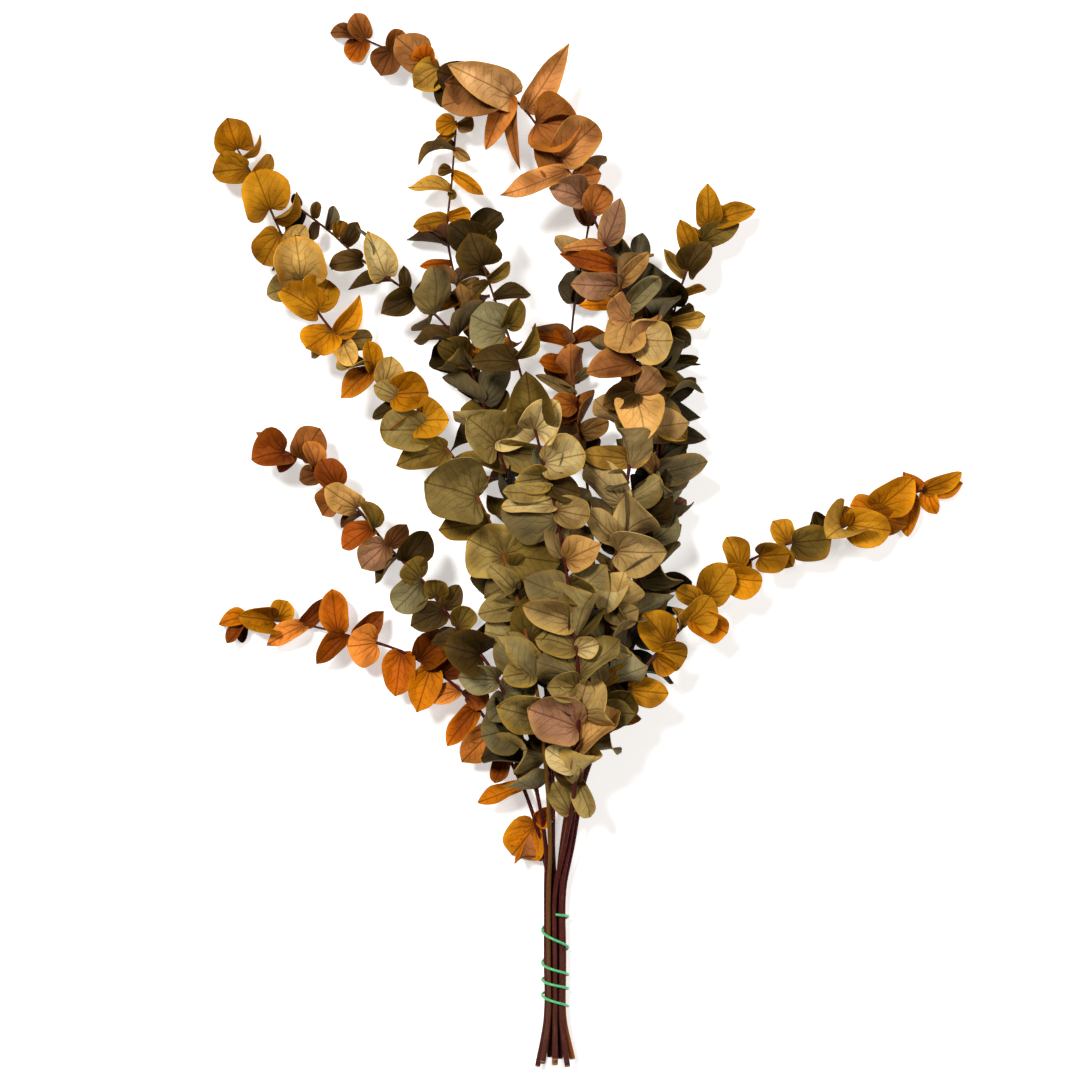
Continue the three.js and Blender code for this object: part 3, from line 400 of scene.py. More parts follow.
    Stem("stem_low_left_orange", RING, 225, lead=138, until=141, every=(20, 19),
        blades=(27, 31, 32, 31, 27, 17), width=(0.52, 0.9), point=(0.3, 0.9),
        spread=(35, 82), turn=(0.2, 1), route=(
            (-29, -205, 12), (-41, -166, 16), (-55, -138, 18), (-70, -114, 20), (-95, -90, 19), (-125, -73, 16),
            (-157, -64, 12), (-190, -56, 5), (-230, -52, 0)),
        seen=(
            (162, 246, 25, 26, 0.1, 0, "amber"), (166, 20, 13, 12, 0.3, 10, "orange"),
            (190, 200, 31, 12, 0.5, 40, "amber"), (197, 62, 17, 12, 0.4, 20, "orange"),
            (214, 246, 21, 12, 0.4, 25, "orange"), (232, 226, 27, 21, 0.4, 0, "ginger"),
            (236, 60, 18, 14, 0.3, 30, "rust"), (250, 228, 31, 14, 0.6, 20, "orange"),
            (262, 2, 18, 14, 0.3, 30, "rust"), (266, 188, 21, 13, 0.3, 45, "ginger"),
            (282, 42, 20, 16, 0.3, 10, "rust"), (291, 255, 31, 20, 0.5, 0, "amber"),
            (300, 38, 30, 22, 0.5, 0, "orange"), (313, 262, 28, 22, 0.4, 0, "orange"),
            (330, 186, 19, 26, 0.2, 0, "ginger"), (345, 35, 23, 14, 0.5, 20, "rust"),
            (352, 222, 26, 14, 0.7, 15, "orange"), (358, 97, 30, 20, 0.5, 0, "orange"),
            (381, 204, 28, 13, 0.6, 25, "ginger"), (383, 40, 23, 13, 0.6, 10, "rust"),
            (400, 62, 14, 16, 0.2, 10, "gold"), (402, 172, 25, 18, 0.5, 0, "gold"),
            (419, 178, 20, 11, 0.4, 35, "amber"), (423, 268, 16, 8, 0.5, 20, "rust"),
            (421, 237, 25, 11, 0.6, 10, "rust"))),
    Stem("stem_right_sage", RING, 315, lead=240, until=486, every=(25, 22),
        blades=(29, 31, 27, 25, 24, 25), width=(0.68, 1), point=(0.2, 0.8),
        spread=(35, 80), turn=(0.3, 1), route=(
            (-13, -202, 10.5), (-1, -155, 16), (18, -106, 18), (34, -60, 18), (44, -14, 18), (49, 39, 18),
            (50, 86, 18), (53, 125, 18), (62, 165, 18), (74, 195, 17), (90, 222, 14)),
        seen=(
            (494, 330, 15, 13, 0.3, 10, "dark_olive"), (500, 174, 13, 7, 0.2, 20, "mustard_tan"),
            (501, 0, 21, 12, 0.3, 25, "mustard_tan"), (505, 32, 14, 14, 0.3, 20, "dark_olive"),
            (506, 176, 14, 11, 0.2, 20, "olive"), (511, 112, 20, 21, 0.2, 0, "umber_gold"),
            (521, 18, 19, 11, 0.5, 65, "mustard"), (532, 128, 22, 11, 0.7, 45, "umber_gold"),
            (537, 50, 22, 20, 0.3, 0, "dark_olive"), (542, 146, 10, 6, 0.2, 20, "olive"),
            (549, 114, 23, 13, 0.5, 0, "mustard"), (557, 25, 28, 15, 0.6, 0, "olive"),
            (561, 150, 10, 6, 0.4, 40, "mustard"), (570, 92, 26, 17, 0.6, 0, "mustard"),
            (574, 18, 29, 14, 0.5, 0, "mustard"))),
    Stem("stem_thin_amber", RING, 270, lead=395, until=556, every=(27, 25),
        blades=(26, 27, 25, 20), width=(0.7, 0.95), point=(0.1, 0.6),
        spread=(60, 95), turn=(0, 0.3), route=(
            (-22, -206, 9), (-22, -166, 12), (-25, -113, 13), (-33, -53, 14), (-47, 6, 14), (-63, 66, 14),
            (-74, 126, 15), (-85, 165, 16), (-92, 202, 17), (-89, 238, 18), (-86, 278, 18)),
        seen=(
            (570, 188, 21, 12, 0.3, 20, "mustard"), (572, 12, 16, 10, 0.2, 20, "gold"),
            (590, 172, 26, 14, 0.4, 60, "mustard_tan"), (591, 290, 8, 5, 0.4, 20, "olive"),
            (602, 325, 26, 9, 0.6, 20, "gold"), (604, 200, 9, 7, 0.3, 20, "umber_gold"),
            (617, 181, 25, 14, 0.4, 62, "umber_gold"), (618, 318, 12, 7, 0.5, 20, "tan"),
            (628, 216, 17, 8, 0.5, 20, "mustard"), (633, 20, 11, 11, 0.2, 30, "tan"),
            (636, 202, 13, 13, 0.2, 15, "gold"))),
    Stem("stem_hidden_ginger", CORE, 330, lead=395, until=None, every=(28, 25),
        blades=(25, 26, 24, 19), width=(0.7, 1), point=(0.2, 0.7),
        spread=(40, 88), turn=(0.2, 0.9), route=(
            (-17.5, -213, 10.5), (-12, -174, 12.5), (-2, -126, 14), (4, -73, 14), (5, -20, 14), (1, 33, 15),
            (-6, 79, 16), (-10, 129, 17), (-6, 168, 18), (1, 205, 18), (5, 236, 18)), seen=()),
)
print(len(STEMS), "stems")

# %% Leaves that lie on top and found no room in the solids, noted as the seen ones are
ON_TOP = {
    "stem_arch_copper": (
        (687, 200, 42, 36, 0.6, 0, "copper_tan"), (676, 156, 49, 26, 0.45, 0, "peach"),
        (652, 352, 37, 40, 0.9, 0, "copper"),
        (515, 182, 30, 10, 0.2, 10, "amber"), (527, 178, 33, 19, 0.2, 0, "mauve"), (541, 166, 34, 13, 0.4, 0, "rust"),
        (556, 184, 28, 8, 0.6, 20, "copper_tan"), (530, 44, 27, 12, 0.2, 20, "tan"), (530, 226, 11, 9, 0.3, 10, "tan"),
        (513, 43, 34, 15, 0.3, 10, "sage"), (504, 252, 29, 30, 0.35, 0, "tan"), (492, 355, 31, 30, 0.3, 0, "khaki_tan"),
        (476, 193, 35, 22, 0.5, 10, "brown"), (472, 178, 20, 12, 0.2, 20, "copper_tan"),
        (455, 282, 30, 34, 0.6, 0, "tan"), (458, 205, 24, 18, 0.3, 0, "umber"),
        (413, 174, 31, 18, 0.5, 0, "mustard_tan"), (400, 200, 15, 14, 0.3, 20, "slate"),
        (352, 0, 33, 28, 0.4, 0, "khaki_tan"), (360, 137, 28, 19, 0.3, 0, "khaki_tan"),
        (338, 257, 28, 21, 0.3, 0, "hay"), (318, 300, 16, 13, 0.3, 10, "khaki"), (308, 20, 19, 18, 0.3, 0, "khaki_tan"),
        (292, 336, 17, 11, 0.4, 0, "hay"), (262, 100, 17, 16, 0.3, 10, "hay"), (266, 35, 22, 9, 0.3, 20, "mustard"),
        (252, 110, 12, 14, 0.2, 10, "khaki"), (228, 70, 17, 11, 0.3, 0, "khaki_tan")),
    "stem_inner_slate": (
        (440, 318, 24, 20, 0.5, 0, "mustard_tan"), (468, 330, 14, 10, 0.4, 20, "umber_gold"),
        (404, 130, 14, 14, 0.3, 30, "tan"), (385, 207, 28, 10, 0.2, 20, "khaki"),
        (372, 80, 27, 30, 0.2, 0, "dark_olive")),
    "stem_right_sage": (
        (474, 5, 22, 10, 0.4, 20, "olive"), (447, 35, 27, 13, 0.2, 10, "slate"), (430, 345, 29, 13, 0.6, 10, "slate"),
        (392, 58, 31, 20, 0.7, 0, "slate"), (372, 30, 21, 17, 0.6, 0, "mauve"), (352, 40, 22, 16, 0.5, 0, "khaki"),
        (310, 68, 28, 30, 0.2, 0, "khaki"), (225, 45, 18, 12, 0.3, 10, "sage")),
    "stem_hidden_ginger": (
        (478, 165, 24, 13, 0.4, 10, "orange"), (418, 20, 20, 15, 0.4, 10, "tan"), (452, 40, 14, 9, 0.4, 20, "hay"),
        (462, 172, 23, 15, 0.3, 30, "orange"), (443, 148, 29, 9, 0.5, 20, "khaki_tan"),
        (437, 180, 18, 16, 0.2, 0, "ginger"), (430, 200, 14, 9, 0.5, 30, "rust")),
    "stem_centre_olive": (
        (400, 188, 20, 20, 0.3, 0, "khaki"), (391, 183, 37, 14, 0.4, 10, "khaki"),
        (395, 345, 19, 17, 0.2, 0, "dark_olive"), (402, 0, 11, 7, 0.3, 20, "hay"), (287, 15, 14, 15, 0.2, 0, "hay"),
        (262, 178, 20, 20, 0.2, 0, "khaki"), (258, 150, 14, 10, 0.6, 30, "hay"), (247, 75, 21, 16, 0.3, 0, "khaki_tan"),
        (205, 75, 21, 10, 0.3, 0, "mauve")),
    "stem_upper_left_umber": ((418, 20, 34, 26, 0.3, 0, "hay"), (470, 150, 24, 20, 0.5, 20, "olive")),
    "stem_thin_amber": (
        (542, 186, 20, 8, 0.3, 10, "orange"), (524, 20, 15, 9, 0.3, 20, "tan"), (518, 196, 25, 14, 0.3, 10, "gold"),
        (500, 320, 17, 13, 0.3, 10, "tan"), (484, 350, 28, 15, 0.4, 0, "gold"), (482, 205, 22, 15, 0.4, 10, "amber")),
    "stem_upper_left_gold": (
        (312, 192, 27, 20, 0.4, 0, "khaki"), (322, 132, 26, 15, 0.5, 10, "khaki"), (335, 40, 15, 14, 0.3, 10, "olive"),
        (272, 128, 27, 22, 0.5, 0, "khaki"), (268, 190, 20, 18, 0.2, 0, "khaki")),
}
print(sum(len(rows) for rows in ON_TOP.values()), "more leaves on top")


# %% A smooth line through points
MEASURES = 200  # steps in which a line is measured
NUDGE = 0.0001  # a share of a line, to either side of a point, that its heading is taken over
LYING = math.cos(math.pi / 5)  # the model's rods have five sides and lie on one of them


class Line:
    """A centripetal curve through some points, measured along its length."""

    def __init__(self, points):
        self.points = [Vector(p) for p in points]
        ends = [2 * self.points[0] - self.points[1], 2 * self.points[-1] - self.points[-2]]
        self.around = [ends[0], *self.points, ends[1]]
        self.marks = [0.0]
        previous = self.at(0)
        for i in range(1, MEASURES + 1):
            point = self.at(i / MEASURES)
            self.marks.append(self.marks[-1] + (point - previous).length)
            previous = point
        self.length = self.marks[-1]

    def at(self, share):
        """The point at a share of the points, from 0 to 1."""
        place = share * (len(self.points) - 1)
        i = min(int(place), len(self.points) - 2)
        a, b, c, d = self.around[i : i + 4]
        first, middle, last = [math.sqrt((q - p).length) for p, q in ((a, b), (b, c), (c, d))]
        leave = ((b - a) / first - (c - a) / (first + middle) + (c - b) / middle) * middle
        arrive = ((c - b) / middle - (d - b) / (middle + last) + (d - c) / last) * middle
        w = place - i
        return b + leave * w + (3 * (c - b) - 2 * leave - arrive) * w**2 + (2 * (b - c) + leave + arrive) * w**3

    def share_at(self, reach):
        """The share of the points at which the curve is `reach` long."""
        reach = min(reach, self.length)
        i = next((n for n in range(1, MEASURES + 1) if self.marks[n] >= reach), MEASURES)
        return (i - 1 + (reach - self.marks[i - 1]) / (self.marks[i] - self.marks[i - 1])) / MEASURES

    def place(self, reach, radius):
        """The point and the heading at `reach`. A stem that would sink into the table lies on it."""
        share = self.share_at(reach)
        point = self.at(share)
        heading = (self.at(min(share + NUDGE, 1)) - self.at(max(share - NUDGE, 0))).normalized()
        lowest = radius * LYING
        if point.z < lowest:
            point.z = lowest
            heading = Vector((heading.x, heading.y, 0)).normalized()
        return point, heading


def stem_line(stem, number):
    """The line of a stem from its cut end, through the tie, to its tip."""
    cut = (TIED_X + SPLAY * stem.aside, CUT_Y[number % 6], TIED_Z + SPLAY * stem.above)
    tied = [(TIED_X + stem.aside, y, TIED_Z + stem.above) for y in TIED_Y]
    return Line([cut, *tied, *stem.route])


def mix(a, b, share):
    return a + (b - a) * share


def stem_radius(line, reach):
    """It tapers from the cut end to the tie, and from the tie to the tip."""
    tied = line.points[3].y - line.points[0].y
    if reach < tied:
        return mix(CUT_RADIUS, TIED_RADIUS, min(1, 2 * reach / tied))
    return mix(TIED_RADIUS, TIP_RADIUS, (reach - tied) / (line.length - tied))


for number, stem in enumerate(STEMS):
    stem.line = stem_line(stem, number)
print("stem lengths, mm:", [round(stem.line.length) for stem in STEMS])

# %% [markdown]
# ## Where the leaves are
#
# In the model a leaf was either read from the photograph or drawn by chance, and then tried in one stance after
# another until it found room. The chance comes from a plain sum, so the same draws can be made again here. Which of
# the stances was kept is read off the packed solid: it is the first one whose outline has a corner of the solid at
# each of its own corners. A leaf that was left out finds none.
#
# A leaf that was read from the photograph is drawn at its full size, also where the model had to make it smaller,
# and a little wider, because a cupped blade looks narrower from above than it is. The leaves on top are held a few
# degrees higher than the others, to clear them.

# %% The model's draws
def along(values, share):
    """The value at a share of the way along evenly spaced values."""
    at = min(max(share, 0), 1) * (len(values) - 1)
    i = min(int(at), len(values) - 2)
    return mix(values[i], values[i + 1], at - i)


def draws_for(stem_number, leaf_number):
    """The model's random numbers for one leaf. Each comes from the one before by one multiplication and one sum."""
    state = (7919 * (stem_number + 1) + 104729 * (leaf_number + 1)) % 2**32
    for _ in range(3):
        state = (1664525 * state + 1013904223) % 2**32
    while True:
        state = (1664525 * state + 1013904223) % 2**32
        yield state / 2**32


class Draw:
    """A leaf's run of random numbers. Each call takes the two ends of the draw."""

    def __init__(self, stem_number, leaf_number):
        self.chances = draws_for(stem_number, leaf_number)

    def __call__(self, low, high):
        return low + (high - low) * next(self.chances)


print("the first leaf's first draw, from 0 to 1:", round(Draw(0, 0)(0, 1), 3))

# %% The model's blade
PETIOLE = 3.0  # millimetres from the middle of the stem to the foot of the blade
NOTCH = 0.1  # how far the two lobes at the foot of the model's blade reach back
LOBE_FADE = 4  # how fast the lobes fade towards the tip
AS_WIDE = 2.598  # makes the pointed outline as wide as the rounded one
POINTED_FROM, SMALL = 0.5, 16  # the model draws a more pointed or a smaller blade than this with fewer corners


class Blade:
    """A leaf's blade in its own frame: X along it from the middle of the stem, Y across it, Z out of its face."""

    def __init__(self, length, width, point, arch, fold, cup, twist):
        self.length = length
        self.width = width
        self.point = point
        self.arch = arch
        self.fold = fold
        self.cup = cup
        self.twist = twist
        self.scale = 1.0

    def half(self, s):
        """Half the width at s: an ellipse and a pointed outline, mixed."""
        rounded = 2 * math.sqrt(s * (1 - s))
        pointed = AS_WIDE * math.sqrt(s) * (1 - s)
        return 0.5 * self.width * self.scale * mix(rounded, pointed, self.point)

    def at(self, s, t):
        """s runs from the foot (0) to the tip (1), t from one edge (-1) over the rib (0) to the other (1)."""
        length = self.length * self.scale
        bend = self.arch * (s - NOTCH * abs(t) * (1 - s) ** LOBE_FADE)
        across = t * self.half(s)
        lift = self.fold * abs(across) + self.cup * across**2 / length
        roll = self.twist * s
        y = across * math.cos(roll) - lift * math.sin(roll)
        out = across * math.sin(roll) + lift * math.cos(roll)
        x = PETIOLE + length * math.sin(bend) / self.arch - out * math.sin(bend)
        return Vector((x, y, length * (1 - math.cos(bend)) / self.arch + out * math.cos(bend)))

    def corners(self):
        """The corners of the model's plate, apart from those at its foot."""
        plain = self.point > POINTED_FROM or self.length * self.scale < SMALL
        rim, grow = ((0.36,), 1.2) if plain else ((0.2, 0.7), 1.1)
        return [self.at(s, side * grow) for s in rim for side in (1, -1)] + [self.at(1, 0)]


print("a blade of the model has", len(Blade(30, 28, 0, 0.1, 0, 0, 0).corners()), "corners besides its foot")

# %% How a leaf stands
UP = Vector((0, 0, 1))
LIES_FLAT = 0.55  # the share of a leaf's slope that is left when the bunch lies on a table


def seated(x, z, point):
    """A matrix from a leaf's own axes and its place."""
    y = z.cross(x)
    return Matrix(((x.x, y.x, z.x, point.x), (x.y, y.y, z.y, point.y), (x.z, y.z, z.z, point.z), (0, 0, 0, 1)))


def aimed(point, aim, rise, roll):
    """The stance of a seen leaf, which points in a known direction."""
    x = Vector((math.cos(aim) * math.cos(rise), math.sin(aim) * math.cos(rise), math.sin(rise)))
    z = Matrix.Rotation(roll, 3, x) @ (UP - x * x.z).normalized()
    return seated(x, z, point)


def stance(point, heading, side, azimuth, spread, turn, roll):
    """The stance of a leaf of a pair that grew round its stem."""
    first = (side - heading * side.dot(heading)).normalized()
    outward = first * math.cos(azimuth) + first.cross(heading) * math.sin(azimuth)
    x = heading * math.cos(spread) + outward * math.sin(spread)
    z = heading * math.sin(spread) - outward * math.cos(spread)
    x.z *= LIES_FLAT
    x.normalize()
    z = z.lerp(-UP if z.z < 0 else UP, turn)
    z = (z - x * z.dot(x)).normalized()
    return seated(x, Matrix.Rotation(roll, 3, x) @ z, point)


print("the face of a leaf that lies level looks", tuple(aimed(Vector((0, 0, 0)), 0, 0, 0).col[2][:3]))

# %% Places along the model's rods
FIRST_RINGS, RING_EVERY = (0, 15, 32), 38  # where the model's rods have their rings
TIP_BARE, TIP_PAIR = 6, 1  # how far from a tip the last pair but one stays at least, and where the last one stands


def stem_rings(line):
    """The places of the model's rings on a stem."""
    even = line.length - FIRST_RINGS[-1]
    steps = math.floor(even / RING_EVERY + 0.5)
    reaches = [*FIRST_RINGS] + [FIRST_RINGS[-1] + even * (i + 1) / steps for i in range(steps)]
    return [(reach, *line.place(reach, stem_radius(line, reach))) for reach in reaches]


def station_on(rings, reach):
    """The point and the heading between two rings."""
    i = max(1, next(n for n, ring in enumerate(rings) if ring[0] >= reach))
    (start, a, heading_a), (end, b, heading_b) = rings[i - 1], rings[i]
    share = (reach - start) / (end - start)
    return a.lerp(b, share), heading_a.lerp(heading_b, share).normalized()


def pair_reaches(stem):
    """Where the pairs of leaves that are drawn by chance stand along a stem."""
    length = stem.line.length
    reaches = []
    reach = stem.lead
    while reach < (stem.until or length - TIP_BARE):
        reaches.append(reach)
        reach += along(stem.every, (reach - stem.lead) / (length - stem.lead))
    return reaches if stem.until else reaches + [length - TIP_PAIR]


print("the first stem has pairs at", [round(reach) for reach in pair_reaches(STEMS[0])], "mm")

# %% The stance in which a leaf found room
TRIES, SIZES = 26, (1, 0.86, 0.72)  # a leaf is tried in so many stances at each of these sizes
HALF_PLATE, CLOSE = 0.00035, 0.00003  # metres from a blade to the plate's corners, and how exactly they have to fit


def corners_of(node):
    """The corners of a packed solid, ready to be searched by place."""
    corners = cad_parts[node].data.vertices
    tree = KDTree(len(corners))
    for i, corner in enumerate(corners):
        tree.insert(corner.co, i)
    tree.balance()
    return tree


def kept_stance(blade, stances, corners):
    """The first stance in which the packed solid has a corner at each corner of the blade, or None."""
    for n in range(TRIES * len(SIZES)):
        stands = stances((n % TRIES) / TRIES)
        blade.scale = SIZES[n // TRIES]
        misses = [corners.find(TO_FRAME @ stands @ corner)[2] - HALF_PLATE for corner in blade.corners()]
        if max(map(abs, misses)) < CLOSE:
            return stands
    return None


print("a leaf is tried in up to", TRIES * len(SIZES), "stances")

# %% Leaves that were read from the photograph, lie on top or are drawn by chance
FIRST_SEEN, FIRST_ON_TOP = 1000, 2000  # the numbers of the leaves that were read from the photograph
ALONG, ASIDE, OPEN = 38, 12, 60  # degrees that a read leaf rises: along its stem, and from OPEN degrees off it
ARCHED = 1.1  # how far it arches back to the level, as a share of that rise
SEEN_FROM = 1.5  # a read leaf is measured from here, because its lobes hide its petiole
HIGHER = math.radians(8)  # how much more a leaf on top rises
FULLER = 1.1  # how much wider a read leaf is drawn
TIP_SPREAD = (8, 30)  # degrees between the last pair and the stem
SIZE_VARIES = (0.88, 1.12)  # of the leaves that are drawn by chance


class Leaf:
    """A blade, how it stands, where it is along its stem, its number and, if it was read, its colour."""

    def __init__(self, blade, stands, reach, number, colour=None):
        self.blade, self.stands, self.reach, self.number, self.colour = blade, stands, reach, number, colour


def read_leaf(draw, heading, row):
    """The blade and the direction of a leaf that was read from the photograph."""
    reach, aim, length, width, point, roll, colour = row
    fold, cup, twist = draw(0, 0.4), draw(0, 1), draw(-0.4, 0.4)
    aim, roll = math.radians(aim), math.radians(roll)
    alike = abs(math.cos(aim - math.atan2(heading.y, heading.x)))
    rise = math.radians(mix(ALONG, ASIDE, min(1, math.acos(alike) / math.radians(OPEN))))
    arch = draw(-0.15, 0.15) - ARCHED * rise
    return Blade(length + SEEN_FROM - PETIOLE, width, point, arch, fold, cup, twist), aim, rise, roll


def seen_leaves(number, stem, rings, corners):
    """The leaves of a stem that were read from the photograph."""
    for i, row in enumerate(stem.seen):
        place, heading = station_on(rings, row[0])
        draw = Draw(number, FIRST_SEEN + i)
        blade, aim, rise, roll = read_leaf(draw, heading, row)

        def stances(loose):
            turned = aim + loose * draw(-0.5, 0.5)
            risen = rise + loose * draw(-0.9, 0.9)
            return aimed(place, turned, risen, roll + loose * draw(-0.8, 0.8))

        stands = kept_stance(blade, stances, corners)
        blade.scale = 1.0  # A leaf that the model made smaller to find room is drawn at its own size.
        blade.width *= FULLER
        yield Leaf(blade, stands, row[0], FIRST_SEEN + i, row[-1])


def top_leaves(number, stem, rings):
    """The leaves of a stem that lie on top and that the model has no room for."""
    for i, row in enumerate(ON_TOP.get(stem.name, ())):
        place, heading = station_on(rings, row[0])
        blade, aim, rise, roll = read_leaf(Draw(number, FIRST_ON_TOP + i), heading, row)
        yield Leaf(blade, aimed(place, aim, rise + HIGHER, roll), row[0], FIRST_ON_TOP + i, row[-1])


def paired_leaves(number, stem, rings, corners):
    """The leaves of a stem that are drawn by chance, each pair square to the one before."""
    length = stem.line.length
    for pair, reach in enumerate(pair_reaches(stem)):
        place, heading = station_on(rings, reach)
        for half in (0, 1):
            draw = Draw(number, 2 * pair + half)
            size = along(stem.blades, (reach - stem.lead) / (length - stem.lead)) * draw(*SIZE_VARIES)
            width, point = size * draw(*stem.width), draw(*stem.point)
            arch, fold, cup, twist = draw(-0.4, 0.7), draw(-0.1, 0.4), draw(0, 1.2), draw(-0.5, 0.5)
            blade = Blade(size, width, point, arch, fold, cup, twist)
            grown = math.pi * (half + 0.5 * ((pair + 1) % 2))

            def stances(loose):
                wide = 0.35 + 0.9 * loose
                azimuth = grown + draw(-wide, wide)
                spread = math.radians(draw(*(TIP_SPREAD if reach == length - TIP_PAIR else stem.spread)))
                turn, roll = draw(*stem.turn), draw(-0.35, 0.35)
                return stance(place, heading, heading.cross(UP), azimuth, spread, turn, roll)

            yield Leaf(blade, kept_stance(blade, stances, corners), reach, 2 * pair + half)


def leaves_of(number, stem):
    """Each leaf that the packed solid has, and those on top."""
    rings = stem_rings(stem.line)
    corners = corners_of(stem.name)
    leaves = [*seen_leaves(number, stem, rings, corners), *paired_leaves(number, stem, rings, corners)]
    return [leaf for leaf in leaves if leaf.stands] + [*top_leaves(number, stem, rings)]


for number, stem in enumerate(STEMS):
    stem.leaves = leaves_of(number, stem)
    print(stem.name, len(stem.leaves), "leaves")
print(sum(len(stem.leaves) for stem in STEMS), "leaves in all")

# %% [markdown]
# ## A leaf
#
# A dried eucalyptus leaf is a thin blade that folds a little along its rib. Its rim waves, because the blade shrank
# unevenly as it dried. A flat grid is the quickest start: its rows become the length of the leaf and its columns run
# across it. Each point is moved to its place on the blade, the wave is added, and the sheet is extruded downwards
# for the thickness. The rim is creased, so that one level of subdivision rounds the outline without puffing the
# blade up. The cage has few faces, because there are hundreds of leaves.
#
# Each leaf dries in its own way, so how it cups, buckles, folds, rolls and curls is drawn by chance. The leaves that
# were read from the photograph fold and roll half as much, so that they keep the outline that was read. Nothing goes
# below the table.
#
# The leaf also carries its own flat coordinates, which the veins are drawn in, and its own colour.

# %% Where a point of a leaf lies
ROWS = ("root", "foot", 0.035, 0.16, 0.36, 0.6, 0.82, 0.955, 1.0)  # from the stem to the tip
COLUMNS = 4
BLADE_THICK, STALK_THICK = 0.45, 1.0  # millimetres
ROOT_HALF, FOOT_HALF = 0.5, 0.55  # half the width of the leaf's stalk, in the stem and at the blade
SESSILE = 1.3  # how much nearer to the stem the blade starts than the model's
LOBE = 0.2  # how far the lobes at its foot reach back
WIDER, LOPSIDED = 1.12, 0.06  # against the model's outline, and how much wider one half may be
TIP_RIM = 0.7  # from here on the tip counts as rim
ROUND = 6.3  # once round, in radians
RIPPLES = 2.6  # for each wave of the rim
ROLL_FROM, CURL_FROM = 0.5, 0.45  # where on the half and on the blade the roll and the curl start
FLOOR_AIR = 0.25  # millimetres that everything stays above the table
SEEN_CALM = 0.5  # how much a read leaf folds and rolls, against the others


def leaf_place(blade, row, t, habit):
    """Where a point of the sheet lies in the leaf's frame, and its flat coordinates on the blade."""
    if row == "root":
        return Vector((-0.4, ROOT_HALF * t, 0)), Vector((-PETIOLE, ROOT_HALF * t, 0))
    if row == "foot":
        return Vector((PETIOLE - SESSILE - 0.7, FOOT_HALF * t, 0)), Vector((-0.9, FOOT_HALF * t, 0))
    length = blade.length * blade.scale
    lobe = LOBE * (1.5 - blade.point)
    rim = max(t * t, min(1, max(0, (row - TIP_RIM) / (1 - TIP_RIM))))
    half = blade.half(row)
    flat = Vector((length * (row - lobe * abs(t) * (1 - row) ** LOBE_FADE), t * half, rim))
    side = 1 if t > 0 else -1
    along_rim = math.sin(math.pi * min(1, row + 0.1))
    phase = ROUND * habit.start + 1.3 * side
    uneven = 0.08 * math.sin(7 * row + phase) + 0.06 * math.sin(17 * row - phase)
    place = blade.at(row, t * (WIDER + LOPSIDED * side * habit.lopsided + uneven))
    place.x -= SESSILE * (1 - row) ** 2 + (lobe - NOTCH) * length * abs(t) * (1 - row) ** LOBE_FADE
    if row == 1:
        place += (blade.at(1, 0) - blade.at(0.9, 0)).normalized() * length * habit.apex

    # The rim waves.
    wave = habit.wave * math.sin(ROUND * habit.waves * row + phase)
    ripple = habit.ripple * math.sin(ROUND * RIPPLES * habit.waves * row - phase)
    place.z += length * t * t * along_rim * (wave + ripple)
    # The blade is cupped or domed, and its halves stand up from the rib.
    place.z += half * (habit.bowl * t * t + habit.valley * abs(t) * along_rim)
    place.y -= 0.25 * t * half * abs(habit.valley) * along_rim
    # One half may be folded at the rib.
    if side == habit.folded_side:
        place.z += abs(t) * half * math.sin(habit.fold * along_rim)
        place.y -= t * half * (1 - math.cos(habit.fold * along_rim))
    # The outer part may roll.
    rolled = habit.rolled * max(0, abs(t) - ROLL_FROM) * 2 * along_rim
    place.z += 0.5 * half * rolled
    place.y -= side * 0.3 * half * abs(rolled)
    # The whole blade buckled as it dried, and its tip curls.
    place.z += length * habit.buckle * math.sin(5.5 * row + 2.5 * t + phase) * min(1, 3 * row) * (0.4 + 0.6 * abs(t))
    curl = habit.curl * max(0, row - CURL_FROM) ** 2
    place.z += length * curl
    place.x -= 0.4 * length * abs(curl)
    return place, flat


print("a leaf's cage has", 2 * COLUMNS * (len(ROWS) - 1), "faces and a rim")


# %% What is a leaf's own
class Habit:
    """What is a leaf's own: how it waves, folds, rolls, curls and buckles, and how it has aged."""

    def __init__(self, stem_number, leaf_number):
        chance = random.Random(10000 * stem_number + leaf_number)
        calm = SEEN_CALM if leaf_number >= FIRST_SEEN else 1
        self.waves = chance.uniform(0.6, 1.5)
        self.start = chance.random()
        self.wave = chance.uniform(0.02, 0.13)
        self.ripple = chance.uniform(0.01, 0.055)
        self.lopsided = chance.uniform(-1, 1)
        self.apex = chance.uniform(0.0, 0.08)
        self.bowl = chance.uniform(-0.4, 0.45)
        self.curl = chance.choice((-1.3, -0.5, -0.2, 0.2, 0.6, 1.2)) * chance.uniform(0.4, 1)
        self.folded_side = chance.choice((-1, 1, 0))
        self.fold = chance.uniform(0.15, 1.45) * calm
        self.rolled = chance.choice((0, 0, -0.7, 0.8)) * chance.uniform(0.5, 1) * calm
        self.marks = (chance.random(), chance.random(), chance.random())
        self.tone = chance.random()
        self.pick = chance.random()
        self.light = chance.uniform(-1, 1)
        self.edge = chance.random()
        self.valley = chance.uniform(-0.2, 0.6) * calm
        self.buckle = chance.uniform(0.015, 0.055)


print("the first leaf's rim waves", round(Habit(0, 0).waves, 1), "times along its length")


